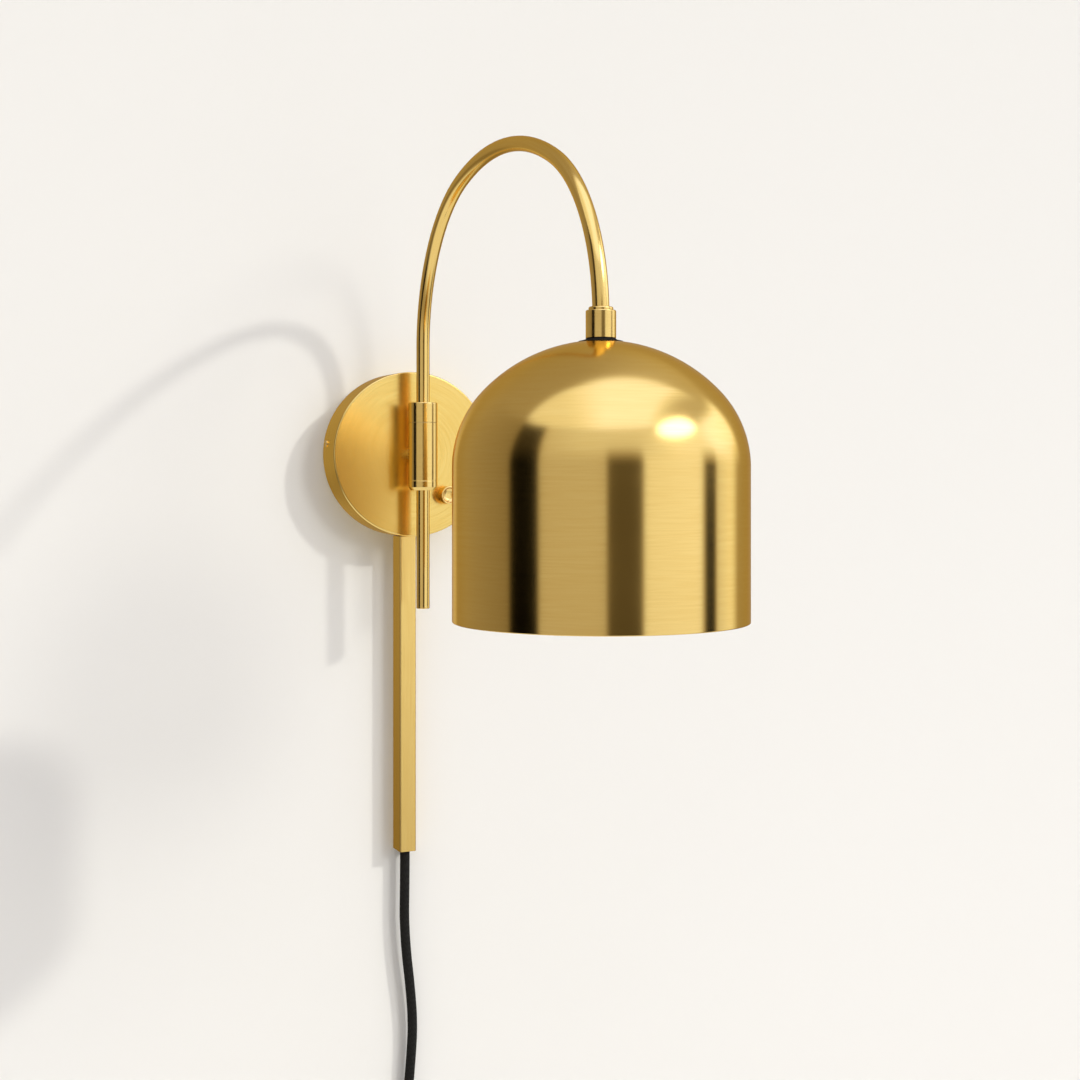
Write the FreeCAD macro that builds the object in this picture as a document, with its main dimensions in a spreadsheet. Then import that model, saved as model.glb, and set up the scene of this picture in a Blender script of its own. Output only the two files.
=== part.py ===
import FreeCAD, Part

# Wall sconce with an arched swing arm, a domed shade, a round canopy and a plug-in cord.
#
# Millimetres. The wall is the plane y = 0 and the lamp stands out towards -Y, with +Z up.
# The origin is the centre of the canopy's back, on the wall, midway between the bracket's slots.

import math
import os
import re

import Sketcher

Vector = FreeCAD.Vector
UP = Vector(0, 0, 1)
OUTWARD = Vector(0, -1, 0)

# ---------------------------------------------------------------------------------------------
# Driving sizes
# ---------------------------------------------------------------------------------------------
SIZES = {
    # canopy: the round cup on the wall
    "canopy_diameter": 127,
    "canopy_depth": 30,
    "canopy_wall": 1.5,
    "canopy_face_thickness": 2,
    "canopy_edge_radius": 1.2,
    # steel bracket behind it
    "bracket_width": 26,
    "bracket_thickness": 2,
    "bracket_ear_depth": 15,
    "bracket_gap": 0.4,
    "bracket_wire_hole": 20,
    "slot_spacing": 88.9,
    "slot_width": 4.6,
    "slot_length": 16,
    # the two slotted screws that hold the canopy to the bracket's ears
    "side_screw_height": 8,
    "side_screw_setback": 9,
    "side_screw_diameter": 4,
    "side_screw_length": 9,
    "side_screw_head": 5.4,
    "side_screw_head_height": 1.5,
    "side_screw_seat_depth": 0.6,
    "screw_slot_width": 0.8,
    "screw_slot_depth": 0.8,
    "thread_clearance": 0.05,
    "hole_clearance": 0.2,
    # stem from the canopy's face to the barrel
    "stem_diameter": 12,
    "stem_thread": 10,
    "stem_thread_length": 13,
    "stem_spigot": 9,
    "stem_washer_diameter": 18,
    "stem_washer_thickness": 1,
    "stem_nut_width": 14,
    "stem_nut_thickness": 3.5,
    # barrel in which the arm swings
    "arm_axis_distance": 52,
    "barrel_diameter": 22,
    "barrel_bore": 16,
    "barrel_rise": 23,
    "barrel_drop": 27.6,
    "barrel_foot_height": 2.4,
    "barrel_foot_inset": 1.8,
    "bush_length": 10,
    "bush_flange_diameter": 21,
    "bush_flange_thickness": 0.6,
    "bush_recess": 0.4,
    "running_clearance": 0.05,
    "rest_gap": 0.3,
    # ring that carries the arm on the barrel
    "collar_height": 15,
    "collar_bevel": 0.8,
    "grub_screw_diameter": 3,
    "grub_screw_socket": 1.5,
    # arm tube
    "arm_diameter": 10,
    "arm_wall": 1,
    "arm_tail_drop": 117.3,
    "arm_reach": 310.6,
    "arch_spring_wall": 81,
    "arm_shade_leg": 5.6,
    "arch_bend_radius": 117.5,
    "arch_crown_radius": 218,
    "arm_end_height": 69.4,
    "wire_window": 6.4,
    "tail_plug_lip": 1.5,
    "tail_plug_shank": 7,
    "tail_plug_bevel": 0.5,
    # holder at the arm's end
    "holder_diameter": 17.7,
    "holder_tube_depth": 10,
    "holder_thread_depth": 6.2,
    "holder_bevel": 0.7,
    "lock_ring_wall": 1.9,
    "lock_ring_height": 2,
    "lock_ring_bevel": 1,
    "nipple_diameter": 10,
    "nipple_bore_clearance": 0.5,
    "gasket_diameter": 26,
    "gasket_thickness": 1.8,
    "gasket_edge": 0.8,
    "gasket_droop": 0.3,
    # shade
    "shade_radius": 86.1,
    "shade_height": 162,
    "shade_wall": 1.2,
    "shade_dome_excess": 8.3,
    "shade_shoulder_radius": 63.8,
    "shade_land_radius": 10,
    "shade_hole_clearance": 0.3,
    "shade_rim_radius": 0.5,
    "shade_nut_width": 17,
    "shade_nut_thickness": 4,
    # lamp socket
    "cap_neck_radius": 9,
    "cap_neck_length": 3,
    "cap_height": 18,
    "cap_skirt_height": 8,
    "cap_shoulder_rise": 2.5,
    "cap_shoulder_inset": 2,
    "cap_wall": 1.5,
    "cap_thread_depth": 8,
    "socket_diameter": 38,
    "socket_length": 37,
    "socket_floor": 6,
    "socket_spigot": 6,
    "screw_shell_diameter": 27.2,
    "screw_shell_wall": 0.5,
    "screw_shell_recess": 3,
    "contact_diameter": 6,
    "contact_height": 4.4,
    "cap_screw_diameter": 2.6,
    "cap_screw_length": 5,
    "cap_screw_height": 4,
    "contact_wire_offset": 6,
    # bulb
    "bulb_thread_clearance": 0.3,
    "bulb_neck_gap": 1.3,
    "bulb_base_shoulder": 4.5,
    "bulb_tip_diameter": 9,
    "bulb_tip_height": 1.5,
    "bulb_tip_gap": 0.3,
    "bulb_neck_diameter": 28,
    "bulb_globe_radius": 30,
    "bulb_glass_length": 78.5,
    "bulb_glass_wall": 1,
    "bulb_neck_length": 3,
    "bulb_neck_angle": 21,
    "bulb_lower_angle": 45,
    # dimmer on the canopy's face
    "dimmer_across": 26,
    "dimmer_below": 31.6,
    "dimmer_body_width": 18,
    "dimmer_body_height": 18,
    "dimmer_body_depth": 13,
    "dimmer_bush_diameter": 7,
    "dimmer_bush_length": 5.6,
    "dimmer_nut_width": 9,
    "dimmer_nut_thickness": 1.8,
    "dimmer_shaft_diameter": 4,
    "dimmer_shaft_depth": 8,
    "knob_diameter": 14.1,
    "knob_gap": 0.4,
    "knob_nut_clearance": 0.5,
    "knob_bush_clearance": 0.8,
    "knob_web": 0.8,
    "knob_dish_diameter": 10.4,
    "knob_dish_depth": 2.6,
    "knob_socket_depth": 3.4,
    "knob_bevel": 0.5,
    # cover over the cord, below the canopy
    "cover_clearance": 0.65,
    "cover_depth": 17,
    "cover_wall": 1,
    "cover_edge_radius": 1,
    "cover_end_drop": 309.6,
    "cover_top_gap": 0.2,
    "rail_thickness": 2,
    "rail_clearance": 0.1,
    "rail_hole_diameter": 3.8,
    "rail_hole_spacing": 195,
    "rail_first_hole": 25,
    # cord grip in the canopy's rim
    "grip_diameter": 10,
    "grip_bore_clearance": 0.1,
    "grip_flange_diameter": 13.6,
    "grip_flange_thickness": 2,
    "grip_outside": 3.3,
    "grip_inside": 11,
    "grip_flange_gap": 0.5,
    # cord, its coil and its plug
    "cord_diameter": 7.6,
    "coil_gap": 0.5,
    "coil_inner_radius": 35,
    "coil_wall_distance": 6.5,
    "coil_centre_across": -3,
    "coil_centre_drop": 604,
    "coil_entry_angle": 130,
    "coil_whole_turns": 5,
    "coil_exit_angle": 180,
    "coil_tail": 26,
    "coil_lead_in": 22,
    "tie_angle": 80,
    "tie_width": 9,
    "tie_thickness": 1.2,
    "tie_clearance": 0.5,
    "plug_relief_length": 24,
    "plug_relief_radius": 5.6,
    "plug_width": 24,
    "plug_thickness": 15,
    "plug_length": 32,
    "plug_corner_radius": 4,
    "blade_spacing": 12.7,
    "blade_width": 6.3,
    "blade_thickness": 1.5,
    "blade_length": 16,
    # wires
    "lead_diameter": 5.6,
    "wire_diameter": 2.2,
    "wire_half_spacing": 1.5,
    "wire_short_lead": 5,
    "wire_long_lead": 9,
    "connector_mouth_radius": 6,
    "connector_tip_radius": 3.6,
    "connector_length": 22,
    "connector_across": 12.5,
    "connector_rise": 24,
    "connector_wall_distance": 13,
}

# ---------------------------------------------------------------------------------------------
# Places and lengths that follow from the driving sizes
# ---------------------------------------------------------------------------------------------
PLACES = {
    "canopy_radius": "canopy_diameter / 2",
    "canopy_inside": "canopy_radius - canopy_wall",
    "canopy_face": "-canopy_depth",
    "canopy_face_inside": "canopy_face + canopy_face_thickness",
    "ear_outside": "sqrt(canopy_inside ^ 2 - (bracket_width / 2) ^ 2) - bracket_gap",
    "ear_inside": "ear_outside - bracket_thickness",
    "side_screw_seat": "sqrt(canopy_radius ^ 2 - side_screw_height ^ 2) - side_screw_seat_depth",
    "arm_radius": "arm_diameter / 2",
    "arm_axis": "-arm_axis_distance",
    "shade_axis": "arm_axis - arm_reach",
    "arm_fit_radius": "arm_radius + running_clearance",
    "lead_radius": "lead_diameter / 2",
    "barrel_radius": "barrel_diameter / 2",
    "barrel_back": "arm_axis + barrel_radius",
    "barrel_bore_radius": "barrel_bore / 2",
    "bush_radius": "barrel_bore_radius - running_clearance",
    "barrel_top": "barrel_rise",
    "barrel_bottom": "-barrel_drop",
    "bush_flange_top": "barrel_top + bush_flange_thickness",
    "collar_bottom": "bush_flange_top + rest_gap",
    "collar_top": "collar_bottom + collar_height",
    "arch_spring_shade": "arm_end_height + arm_shade_leg",
    "tail_end": "-arm_tail_drop",
    "tube_start": "tail_end + tail_plug_lip",
    "holder_top": "arm_end_height + holder_tube_depth",
    "holder_bottom": "arm_end_height - holder_thread_depth",
    "shade_dome_radius": "shade_radius + shade_dome_excess",
    "land_top": "holder_bottom - gasket_thickness",
    "land_bottom": "land_top - shade_wall",
    "shade_rim": "land_top - shade_height",
    "dome_centre": "land_top - sqrt(shade_dome_radius ^ 2 - shade_land_radius ^ 2)",
    "shoulder_across": "shade_radius - shade_shoulder_radius",
    "centres_apart": "shade_dome_radius - shade_shoulder_radius",
    "shoulder_lift": "sqrt(centres_apart ^ 2 - shoulder_across ^ 2)",
    "shoulder_height": "dome_centre + shoulder_lift",
    "dome_inside_radius": "shade_dome_radius - shade_wall",
    "shade_inside": "shade_radius - shade_wall",
    "land_inside_radius": "sqrt(dome_inside_radius ^ 2 - (land_bottom - dome_centre) ^ 2)",
    "shade_nut_bottom": "land_bottom - shade_nut_thickness",
    "thread_end": "shade_nut_bottom - cap_thread_depth",
    "cap_bottom": "shade_nut_bottom - cap_height",
    "cap_screw_level": "cap_bottom + cap_screw_height",
    "socket_radius": "socket_diameter / 2",
    "socket_bottom": "cap_bottom - socket_length",
    "cap_inside_radius": "socket_radius - cap_wall",
    "shell_radius": "screw_shell_diameter / 2",
    "shell_top": "cap_bottom - socket_floor",
    "contact_bottom": "shell_top - contact_height",
    "bulb_tip": "contact_bottom - bulb_tip_gap",
    "bulb_base_radius": "shell_radius - screw_shell_wall - bulb_thread_clearance",
    "glass_top": "socket_bottom - bulb_neck_gap",
    "glass_bottom": "glass_top - bulb_glass_length",
    "globe_centre": "glass_bottom + bulb_globe_radius",
    "dimmer_height": "-dimmer_below",
    "dimmer_bush_end": "canopy_face_inside - dimmer_bush_length",
    "dimmer_shaft_end": "canopy_face_inside + dimmer_shaft_depth",
    "knob_back": "canopy_face - knob_gap",
    "knob_recess_floor": "dimmer_bush_end - knob_bush_clearance",
    "knob_socket_floor": "knob_recess_floor - knob_socket_depth",
    "knob_dish_floor": "knob_socket_floor - knob_web",
    "knob_front": "knob_dish_floor - knob_dish_depth",
    "cover_inside": "grip_diameter / 2 + cover_clearance",
    "cover_top": "-canopy_radius - cover_top_gap",
    "cover_bottom": "-cover_end_drop",
    "cover_length": "cover_top - cover_bottom",
    "cord_radius": "cord_diameter / 2",
    "cord_line": "-(rail_thickness + cover_depth - cover_wall) / 2",
    "grip_flange_bottom": "grip_flange_gap - canopy_inside",
    "grip_top": "grip_inside - canopy_inside",
    "grip_bottom": "-canopy_radius - grip_outside",
}

# The hanging cord from the cover's end to its coil: (x, y, z) of the points that steer it.
CORD_ROUTE = [
    (0.0, -9.0, -334.0),
    (-0.6, -8.9, -362.0),
    (1.2, -8.6, -390.0),
    (5.0, -8.1, -420.0),
    (7.2, -7.5, -449.0),
    (5.6, -7.0, -476.0),
    (3.6, -6.8, -499.0),
    (-1.6, -6.6, -522.0),
]

# ---------------------------------------------------------------------------------------------
# Document, sheet and expressions
# ---------------------------------------------------------------------------------------------
doc = FreeCAD.newDocument("WallSconce")
sheet = doc.addObject("Spreadsheet::Sheet", "Sizes")
for row, (alias, value) in enumerate(SIZES.items(), start=1):
    sheet.set("A%d" % row, alias)
    sheet.set("B%d" % row, str(value))
    sheet.setAlias("B%d" % row, alias)
doc.recompute()

nodes = []


def full(expression):
    """The expression with each place written out and each size read from the sheet."""

    def spelled(found):
        word = found.group(0)
        if word in PLACES:
            return "(" + full(PLACES[word]) + ")"
        return "Sizes." + word if word in SIZES else word

    return re.sub(r"[a-z][a-z_]+", spelled, str(expression))


def number(expression):
    """The expression's value for the sheet's present sizes."""
    return float(sheet.evalExpression(full(expression)))


def keep(item, label):
    """Name a sub-part and put it on the list of those that are written out."""
    item.Label = label
    nodes.append(item)
    return item


def place(item, x=0, y=0, z=0):
    """Tie an object's position to the sheet."""
    for axis, expression in zip("xyz", (x, y, z)):
        item.setExpression("Placement.Base." + axis, full(expression))


def bind(item, **properties):
    """Tie an object's sizes to the sheet."""
    for name, expression in properties.items():
        item.setExpression(name, full(expression))
    return item


# ---------------------------------------------------------------------------------------------
# Bodies, sketches and features
# ---------------------------------------------------------------------------------------------
def new_body(label, x=0, y=0, z=0):
    """A sub-part with its own features."""
    body = keep(doc.addObject("PartDesign::Body", label), label)
    place(body, x, y, z)
    return body


def new_sketch(body, role):
    """A sketch in one of the body's origin planes."""
    sketch = body.newObject("Sketcher::SketchObject", body.Label + "_sketch")
    planes = [part for part in body.Origin.OriginFeatures if part.Role == role]
    sketch.AttachmentSupport = [(planes[0], "")]
    sketch.MapMode = "FlatFace"
    return sketch


def hold_point(sketch, side, end, x, y):
    """Fix a side's end point at the place that two expressions give."""
    for kind, axis, expression in (("DistanceX", -2, x), ("DistanceY", -1, y)):
        if str(expression) == "0":
            sketch.addConstraint(Sketcher.Constraint("PointOnObject", side, end, axis))
            continue
        value = number(expression)
        index = sketch.addConstraint(Sketcher.Constraint(kind, side, end, value))
        sketch.setExpression("Constraints[%d]" % index, full(expression))


def hold_radius(sketch, side, expression):
    """Fix an arc's or a circle's radius."""
    index = sketch.addConstraint(Sketcher.Constraint("Radius", side, number(expression)))
    sketch.setExpression("Constraints[%d]" % index, full(expression))


def arc_between(start, end, radius, left):
    """The shorter arc from start to end; its centre lies left or right of the way along."""
    chord = end - start
    normal = Vector(-chord.y, chord.x, 0).normalize() * (1 if left else -1)
    lift = math.sqrt(max(radius ** 2 - (chord.Length / 2) ** 2, 0))
    centre = (start + end) / 2 + normal * lift
    first, last = (start, end) if left else (end, start)
    angles = [math.atan2(p.y - centre.y, p.x - centre.x) for p in (first, last)]
    return Part.ArcOfCircle(Part.Circle(centre, UP, radius), angles[0], angles[1])


def outline(sketch, corners, left=None, right=None):
    """A closed outline through the corners, each held by two sizes.

    left and right give the radius of each side that is an arc and the way it turns. A half
    circle on the left has None for a radius and is tangent to the side before it.
    """
    left, right = left or {}, right or {}
    points = [Vector(number(x), number(y), 0) for x, y in corners]
    base = sketch.GeometryCount
    starts = []
    for side, start in enumerate(points):
        end = points[(side + 1) % len(points)]
        if side in left or side in right:
            given = left.get(side, right.get(side))
            radius = (end - start).Length / 2 if given is None else number(given)
            sketch.addGeometry(arc_between(start, end, radius, side in left))
        else:
            sketch.addGeometry(Part.LineSegment(start, end))
        starts.append(2 if side in right else 1)
    for side in range(len(points)):
        following = (side + 1) % len(points)
        ends = (base + side, 3 - starts[side], base + following, starts[following])
        half_circle = following in left and left[following] is None
        kind = "Tangent" if half_circle else "Coincident"
        sketch.addConstraint(Sketcher.Constraint(kind, *ends))
    for side, (x, y) in enumerate(corners):
        hold_point(sketch, base + side, starts[side], x, y)
    for side, radius in {**left, **right}.items():
        if radius is not None:
            hold_radius(sketch, base + side, radius)


def circle(sketch, x, y, radius):
    """A circle with its centre and radius held."""
    centre = Vector(number(x), number(y), 0)
    side = sketch.addGeometry(Part.Circle(centre, UP, number(radius)))
    hold_point(sketch, side, 3, x, y)
    hold_radius(sketch, side, radius)


def turned(body, role, corners, left=None, right=None, kind="Revolution"):
    """Turn an outline about the sketch's upright axis, or about Y in the YZ plane."""
    sketch = new_sketch(body, role)
    outline(sketch, corners, left, right)
    feature = body.newObject("PartDesign::" + kind, body.Label + "_turned")
    feature.Profile = sketch
    feature.ReferenceAxis = (sketch, ["H_Axis" if role == "YZ_Plane" else "V_Axis"])
    feature.Angle = 360
    doc.recompute()
    return feature


def padded(body, sketch, length, middle=False, backward=False):
    """Pad a sketch by a length that the sheet gives."""
    feature = body.newObject("PartDesign::Pad", body.Label + "_pad")
    feature.Profile = sketch
    bind(feature, Length=length)
    feature.SideType = "Symmetric" if middle else "One side"
    feature.Reversed = backward
    doc.recompute()
    return feature


def cut(body, sketch, length=None, backward=False):
    """Cut a sketch out of the body, right through it or to a depth on one side."""
    before = body.Shape.Volume
    feature = body.newObject("PartDesign::Pocket", body.Label + "_pocket")
    feature.Profile = sketch
    if length is None:
        feature.Type = "ThroughAll"
        feature.SideType = "Symmetric"
    else:
        bind(feature, Length=length)
        feature.Reversed = backward
    doc.recompute()
    if body.Shape.Volume > before - 1e-3:
        raise ValueError("a pocket in %s cuts nothing" % body.Label)
    return feature


def drilled(body, role, holes, length=None, backward=False):
    """Round holes, each given as the x and y of its centre in the plane and its radius."""
    sketch = new_sketch(body, role)
    for x, y, radius in holes:
        circle(sketch, x, y, radius)
    return cut(body, sketch, length, backward)


def rectangle(sketch, x0, y0, x1, y1):
    """A rectangle between two corners."""
    outline(sketch, [(x0, y0), (x1, y0), (x1, y1), (x0, y1)])


# ---------------------------------------------------------------------------------------------
# Primitives
# ---------------------------------------------------------------------------------------------
def cylinder(name, radius, length, x=0, y=0, z=0, along=UP):
    """A solid cylinder that starts at (x, y, z) and runs along a direction."""
    item = doc.addObject("Part::Cylinder", name)
    item.Placement = FreeCAD.Placement(Vector(), FreeCAD.Rotation(UP, along))
    bind(item, Radius=radius, Height=length)
    place(item, x, y, z)
    return item


def block(name, width, depth, height, x=0, y=0, z=0):
    """A box from its lowest corner."""
    item = bind(doc.addObject("Part::Box", name), Length=width, Width=depth, Height=height)
    place(item, x, y, z)
    return item


def minus(label, base, tool):
    """What is left of base when tool is cut out of it."""
    item = doc.addObject("Part::Cut", label)
    item.Base, item.Tool = base, tool
    doc.recompute()
    return item


def together(label, items):
    """Separate solids that are kept as one sub-part."""
    item = doc.addObject("Part::Compound", label)
    item.Links = items
    doc.recompute()
    return keep(item, label)


def hex_nut(label, across_flats, thickness, bore, y=0, z=0, x=0, along=UP):
    """A plain hexagon nut that starts at (x, y, z) and runs along a direction."""
    prism = doc.addObject("Part::Prism", label + "_prism")
    prism.Polygon = 6
    prism.Placement = FreeCAD.Placement(Vector(), FreeCAD.Rotation(UP, along))
    bind(prism, Circumradius="(%s) / 2 / cos(30 deg)" % across_flats, Height=thickness)
    place(prism, x, y, z)
    hole = cylinder(label + "_bore", bore, thickness, x, y, z, along)
    return keep(minus(label, prism, hole), label)


# ---------------------------------------------------------------------------------------------
# Paths and tubes
# ---------------------------------------------------------------------------------------------
def rounded_path(points, name, report=False):
    """Straight runs joined by tangent arcs, each as large as its two runs allow."""
    reach_share = 0.45
    edges, radii, last = [], [], points[0]
    for before, here, after in zip(points, points[1:], points[2:]):
        back, ahead = before - here, after - here
        half_turn = (math.pi - back.getAngle(ahead)) / 2
        reach = reach_share * min(back.Length, ahead.Length)
        radii.append(reach / math.tan(half_turn))
        back.normalize()
        ahead.normalize()
        begin, end = here + back * reach, here + ahead * reach
        bisector = (back + ahead).normalize()
        to_arc = radii[-1] / math.cos(half_turn) - radii[-1]
        edges.append(Part.LineSegment(last, begin).toShape())
        edges.append(Part.Arc(begin, here + bisector * to_arc, end).toShape())
        last = end
    edges.append(Part.LineSegment(last, points[-1]).toShape())
    if report:
        print(name, "arc radii", [round(radius, 1) for radius in radii])
    return Part.Wire(edges)


def tube_along(path, start, direction, diameter):
    """A round solid that follows a path of lines and arcs."""
    ring = Part.Wire(Part.Circle(start, direction, diameter / 2).toShape())
    return path.makePipeShell([ring], True, False)


def wire_run(points, diameter):
    """A wire through a few points."""
    places = [Vector(*point) for point in points]
    return tube_along(
        rounded_path(places, "wire"), places[0], places[1] - places[0], diameter
    )


def shaped(label, shape):
    """A sub-part whose shape is worked out here from the sheet's sizes."""
    item = keep(doc.addObject("Part::Feature", label), label)
    item.Shape = shape
    item.Placement = FreeCAD.Placement()
    return item


# ---------------------------------------------------------------------------------------------
# Wall side: bracket, canopy and its screws
# ---------------------------------------------------------------------------------------------
def mounting_bracket():
    body = new_body("mounting_bracket")
    sketch = new_sketch(body, "XY_Plane")
    corners = [
        ("-ear_outside", "-bracket_ear_depth"),
        ("-ear_inside", "-bracket_ear_depth"),
        ("-ear_inside", "-bracket_thickness"),
        ("ear_inside", "-bracket_thickness"),
        ("ear_inside", "-bracket_ear_depth"),
        ("ear_outside", "-bracket_ear_depth"),
        ("ear_outside", 0),
        ("-ear_outside", 0),
    ]
    outline(sketch, corners)
    padded(body, sketch, "bracket_width", middle=True)
    slots = new_sketch(body, "XZ_Plane")
    half_run = "(slot_length - slot_width) / 2"
    for centre in ("-slot_spacing / 2", "slot_spacing / 2"):
        near, far = "%s - %s" % (centre, half_run), "%s + %s" % (centre, half_run)
        low, high = "-slot_width / 2", "slot_width / 2"
        ends = [(near, low), (far, low), (far, high), (near, high)]
        outline(slots, ends, left={1: None, 3: None})
    circle(slots, 0, 0, "bracket_wire_hole / 2")
    cut(body, slots)
    ear_hole = ("-side_screw_setback", "side_screw_height")
    drilled(
        body, "YZ_Plane", [(*ear_hole, "side_screw_diameter / 2 + thread_clearance")]
    )


def canopy():
    body = new_body("canopy")
    edge = "canopy_radius - canopy_edge_radius"
    corners = [
        ("canopy_face_inside", 0),
        ("canopy_face_inside", "canopy_inside"),
        (0, "canopy_inside"),
        (0, "canopy_radius"),
        ("canopy_face + canopy_edge_radius", "canopy_radius"),
        ("canopy_face", edge),
        ("canopy_face", 0),
    ]
    turned(body, "YZ_Plane", corners, left={4: "canopy_edge_radius"})
    stem_hole = (0, 0, "stem_thread / 2 + hole_clearance")
    dimmer_hole = (
        "dimmer_across",
        "dimmer_height",
        "dimmer_bush_diameter / 2 + hole_clearance",
    )
    drilled(body, "XZ_Plane", [stem_hole, dimmer_hole])
    side = ("-side_screw_setback", "side_screw_height")
    drilled(
        body, "YZ_Plane", [(*side, "side_screw_diameter / 2 + hole_clearance")]
    )
    seat_radius = "side_screw_head / 2 + hole_clearance"
    for centre_sign in (1, -1):
        spot_face(body, side, seat_radius, centre_sign)
    grip_hole = (0, "cord_line", "grip_diameter / 2 + running_clearance")
    drilled(body, "XY_Plane", [grip_hole], "canopy_radius + 1")


def spot_face(body, side, radius, sign):
    """A flat seat for a side screw's head in the curved rim."""
    sketch = new_sketch(body, "YZ_Plane")
    circle(sketch, *side, radius)
    bind(sketch, **{"AttachmentOffset.Base.z": "%d * side_screw_seat" % sign})
    cut(body, sketch, "side_screw_seat_depth + 2", backward=sign > 0)


def canopy_side_screws():
    solids = []
    for name, sign in (("left", -1), ("right", 1)):
        along = Vector(sign, 0, 0)
        height = dict(y="-side_screw_setback", z="side_screw_height")
        seat = "%d * side_screw_seat" % sign
        inner_end = "%d * (side_screw_seat - side_screw_length)" % sign
        shank = cylinder(
            name + "_shank", "side_screw_diameter / 2", "side_screw_length",
            x=inner_end, along=along, **height
        )
        head = cylinder(
            name + "_head", "side_screw_head / 2", "side_screw_head_height",
            x=seat, along=along, **height
        )
        screw = doc.addObject("Part::MultiFuse", name + "_side_screw")
        screw.Shapes = [shank, head]
        low_x = {
            -1: "-side_screw_seat - side_screw_head_height",
            1: "side_screw_seat + side_screw_head_height - screw_slot_depth",
        }
        slot = block(
            name + "_slot", "screw_slot_depth", "side_screw_head + 2", "screw_slot_width",
            low_x[sign],
            "-side_screw_setback - side_screw_head / 2 - 1",
            "side_screw_height - screw_slot_width / 2",
        )
        solids.append(minus(name + "_slotted_screw", screw, slot))
    together("canopy_side_screws", solids)


# ---------------------------------------------------------------------------------------------
# Swivel: stem, barrel, bushes and the arm's ring
# ---------------------------------------------------------------------------------------------
def arm_stem():
    body = new_body("arm_stem")
    thread = "stem_thread / 2"
    shank = [
        ("arm_axis", 0),
        ("canopy_face + stem_thread_length", 0),
        ("canopy_face + stem_thread_length", thread),
        ("canopy_face", thread),
        ("canopy_face", "stem_diameter / 2"),
        ("arm_axis", "stem_diameter / 2"),
    ]
    turned(body, "YZ_Plane", [(x, y) for x, y in shank[::-1]])
    saddle = "barrel_radius + running_clearance"
    drilled(body, "XY_Plane", [(0, "arm_axis", saddle)])
    spigot_end = "arm_axis + barrel_bore_radius + running_clearance"
    root = "barrel_back + 1"
    spigot = [(root, 0), (root, "stem_spigot / 2"), (spigot_end, "stem_spigot / 2")]
    turned(body, "YZ_Plane", spigot + [(spigot_end, 0)])
    drilled(body, "XZ_Plane", [(0, 0, "lead_radius + hole_clearance")])


def stem_fasteners():
    inside = "canopy_face_inside"
    bore = "stem_thread / 2 + thread_clearance"
    into = Vector(0, 1, 0)
    disc = cylinder(
        "washer_disc", "stem_washer_diameter / 2", "stem_washer_thickness", y=inside, along=into
    )
    hole = cylinder("washer_hole", bore, "stem_washer_thickness", y=inside, along=into)
    keep(minus("stem_washer", disc, hole), "stem_washer")
    hex_nut(
        "stem_locknut", "stem_nut_width", "stem_nut_thickness", bore,
        y="canopy_face_inside + stem_washer_thickness", along=into,
    )


def barrel():
    body = new_body("barrel", y="arm_axis")
    foot = "barrel_radius - barrel_foot_inset"
    corners = [
        ("barrel_bore_radius", "barrel_bottom"),
        (foot, "barrel_bottom"),
        ("barrel_radius", "barrel_bottom + barrel_foot_height"),
        ("barrel_radius", "barrel_top"),
        ("barrel_bore_radius", "barrel_top"),
    ]
    turned(body, "XZ_Plane", corners)
    spigot_hole = (0, 0, "stem_spigot / 2 + running_clearance")
    drilled(body, "XZ_Plane", [spigot_hole], "barrel_diameter", backward=False)


def barrel_bushes():
    upper = new_body("barrel_bush_upper", y="arm_axis")
    flange = "bush_flange_diameter / 2"
    corners = [
        ("arm_fit_radius", "barrel_top - bush_length"),
        ("bush_radius", "barrel_top - bush_length"),
        ("bush_radius", "barrel_top"),
        (flange, "barrel_top"),
        (flange, "bush_flange_top"),
        ("arm_fit_radius", "bush_flange_top"),
    ]
    turned(upper, "XZ_Plane", corners)
    lower = new_body("barrel_bush_lower", y="arm_axis")
    bottom = "barrel_bottom + bush_recess"
    top = "barrel_bottom + bush_recess + bush_length"
    corners = [
        ("arm_fit_radius", bottom),
        ("bush_radius", bottom),
        ("bush_radius", top),
        ("arm_fit_radius", top),
    ]
    turned(lower, "XZ_Plane", corners)


def arm_collar():
    body = new_body("arm_collar", y="arm_axis")
    corners = [
        ("arm_fit_radius", "collar_bottom"),
        ("barrel_radius", "collar_bottom"),
        ("barrel_radius", "collar_top - collar_bevel"),
        ("barrel_radius - collar_bevel", "collar_top"),
        ("arm_fit_radius", "collar_top"),
    ]
    turned(body, "XZ_Plane", corners)
    middle = "collar_bottom + collar_height / 2"
    hole = (0, middle, "grub_screw_diameter / 2 + thread_clearance")
    drilled(body, "XZ_Plane", [hole], "barrel_diameter")
    length = "barrel_radius - arm_fit_radius"
    start = "arm_axis + arm_fit_radius"
    into = Vector(0, 1, 0)
    grub = cylinder(
        "grub", "grub_screw_diameter / 2", length, y=start, z=middle, along=into
    )
    key = cylinder(
        "grub_key", "grub_screw_socket / 2", length,
        y=start + " + grub_screw_diameter / 2", z=middle, along=into,
    )
    keep(minus("arm_collar_screw", grub, key), "arm_collar_screw")


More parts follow.
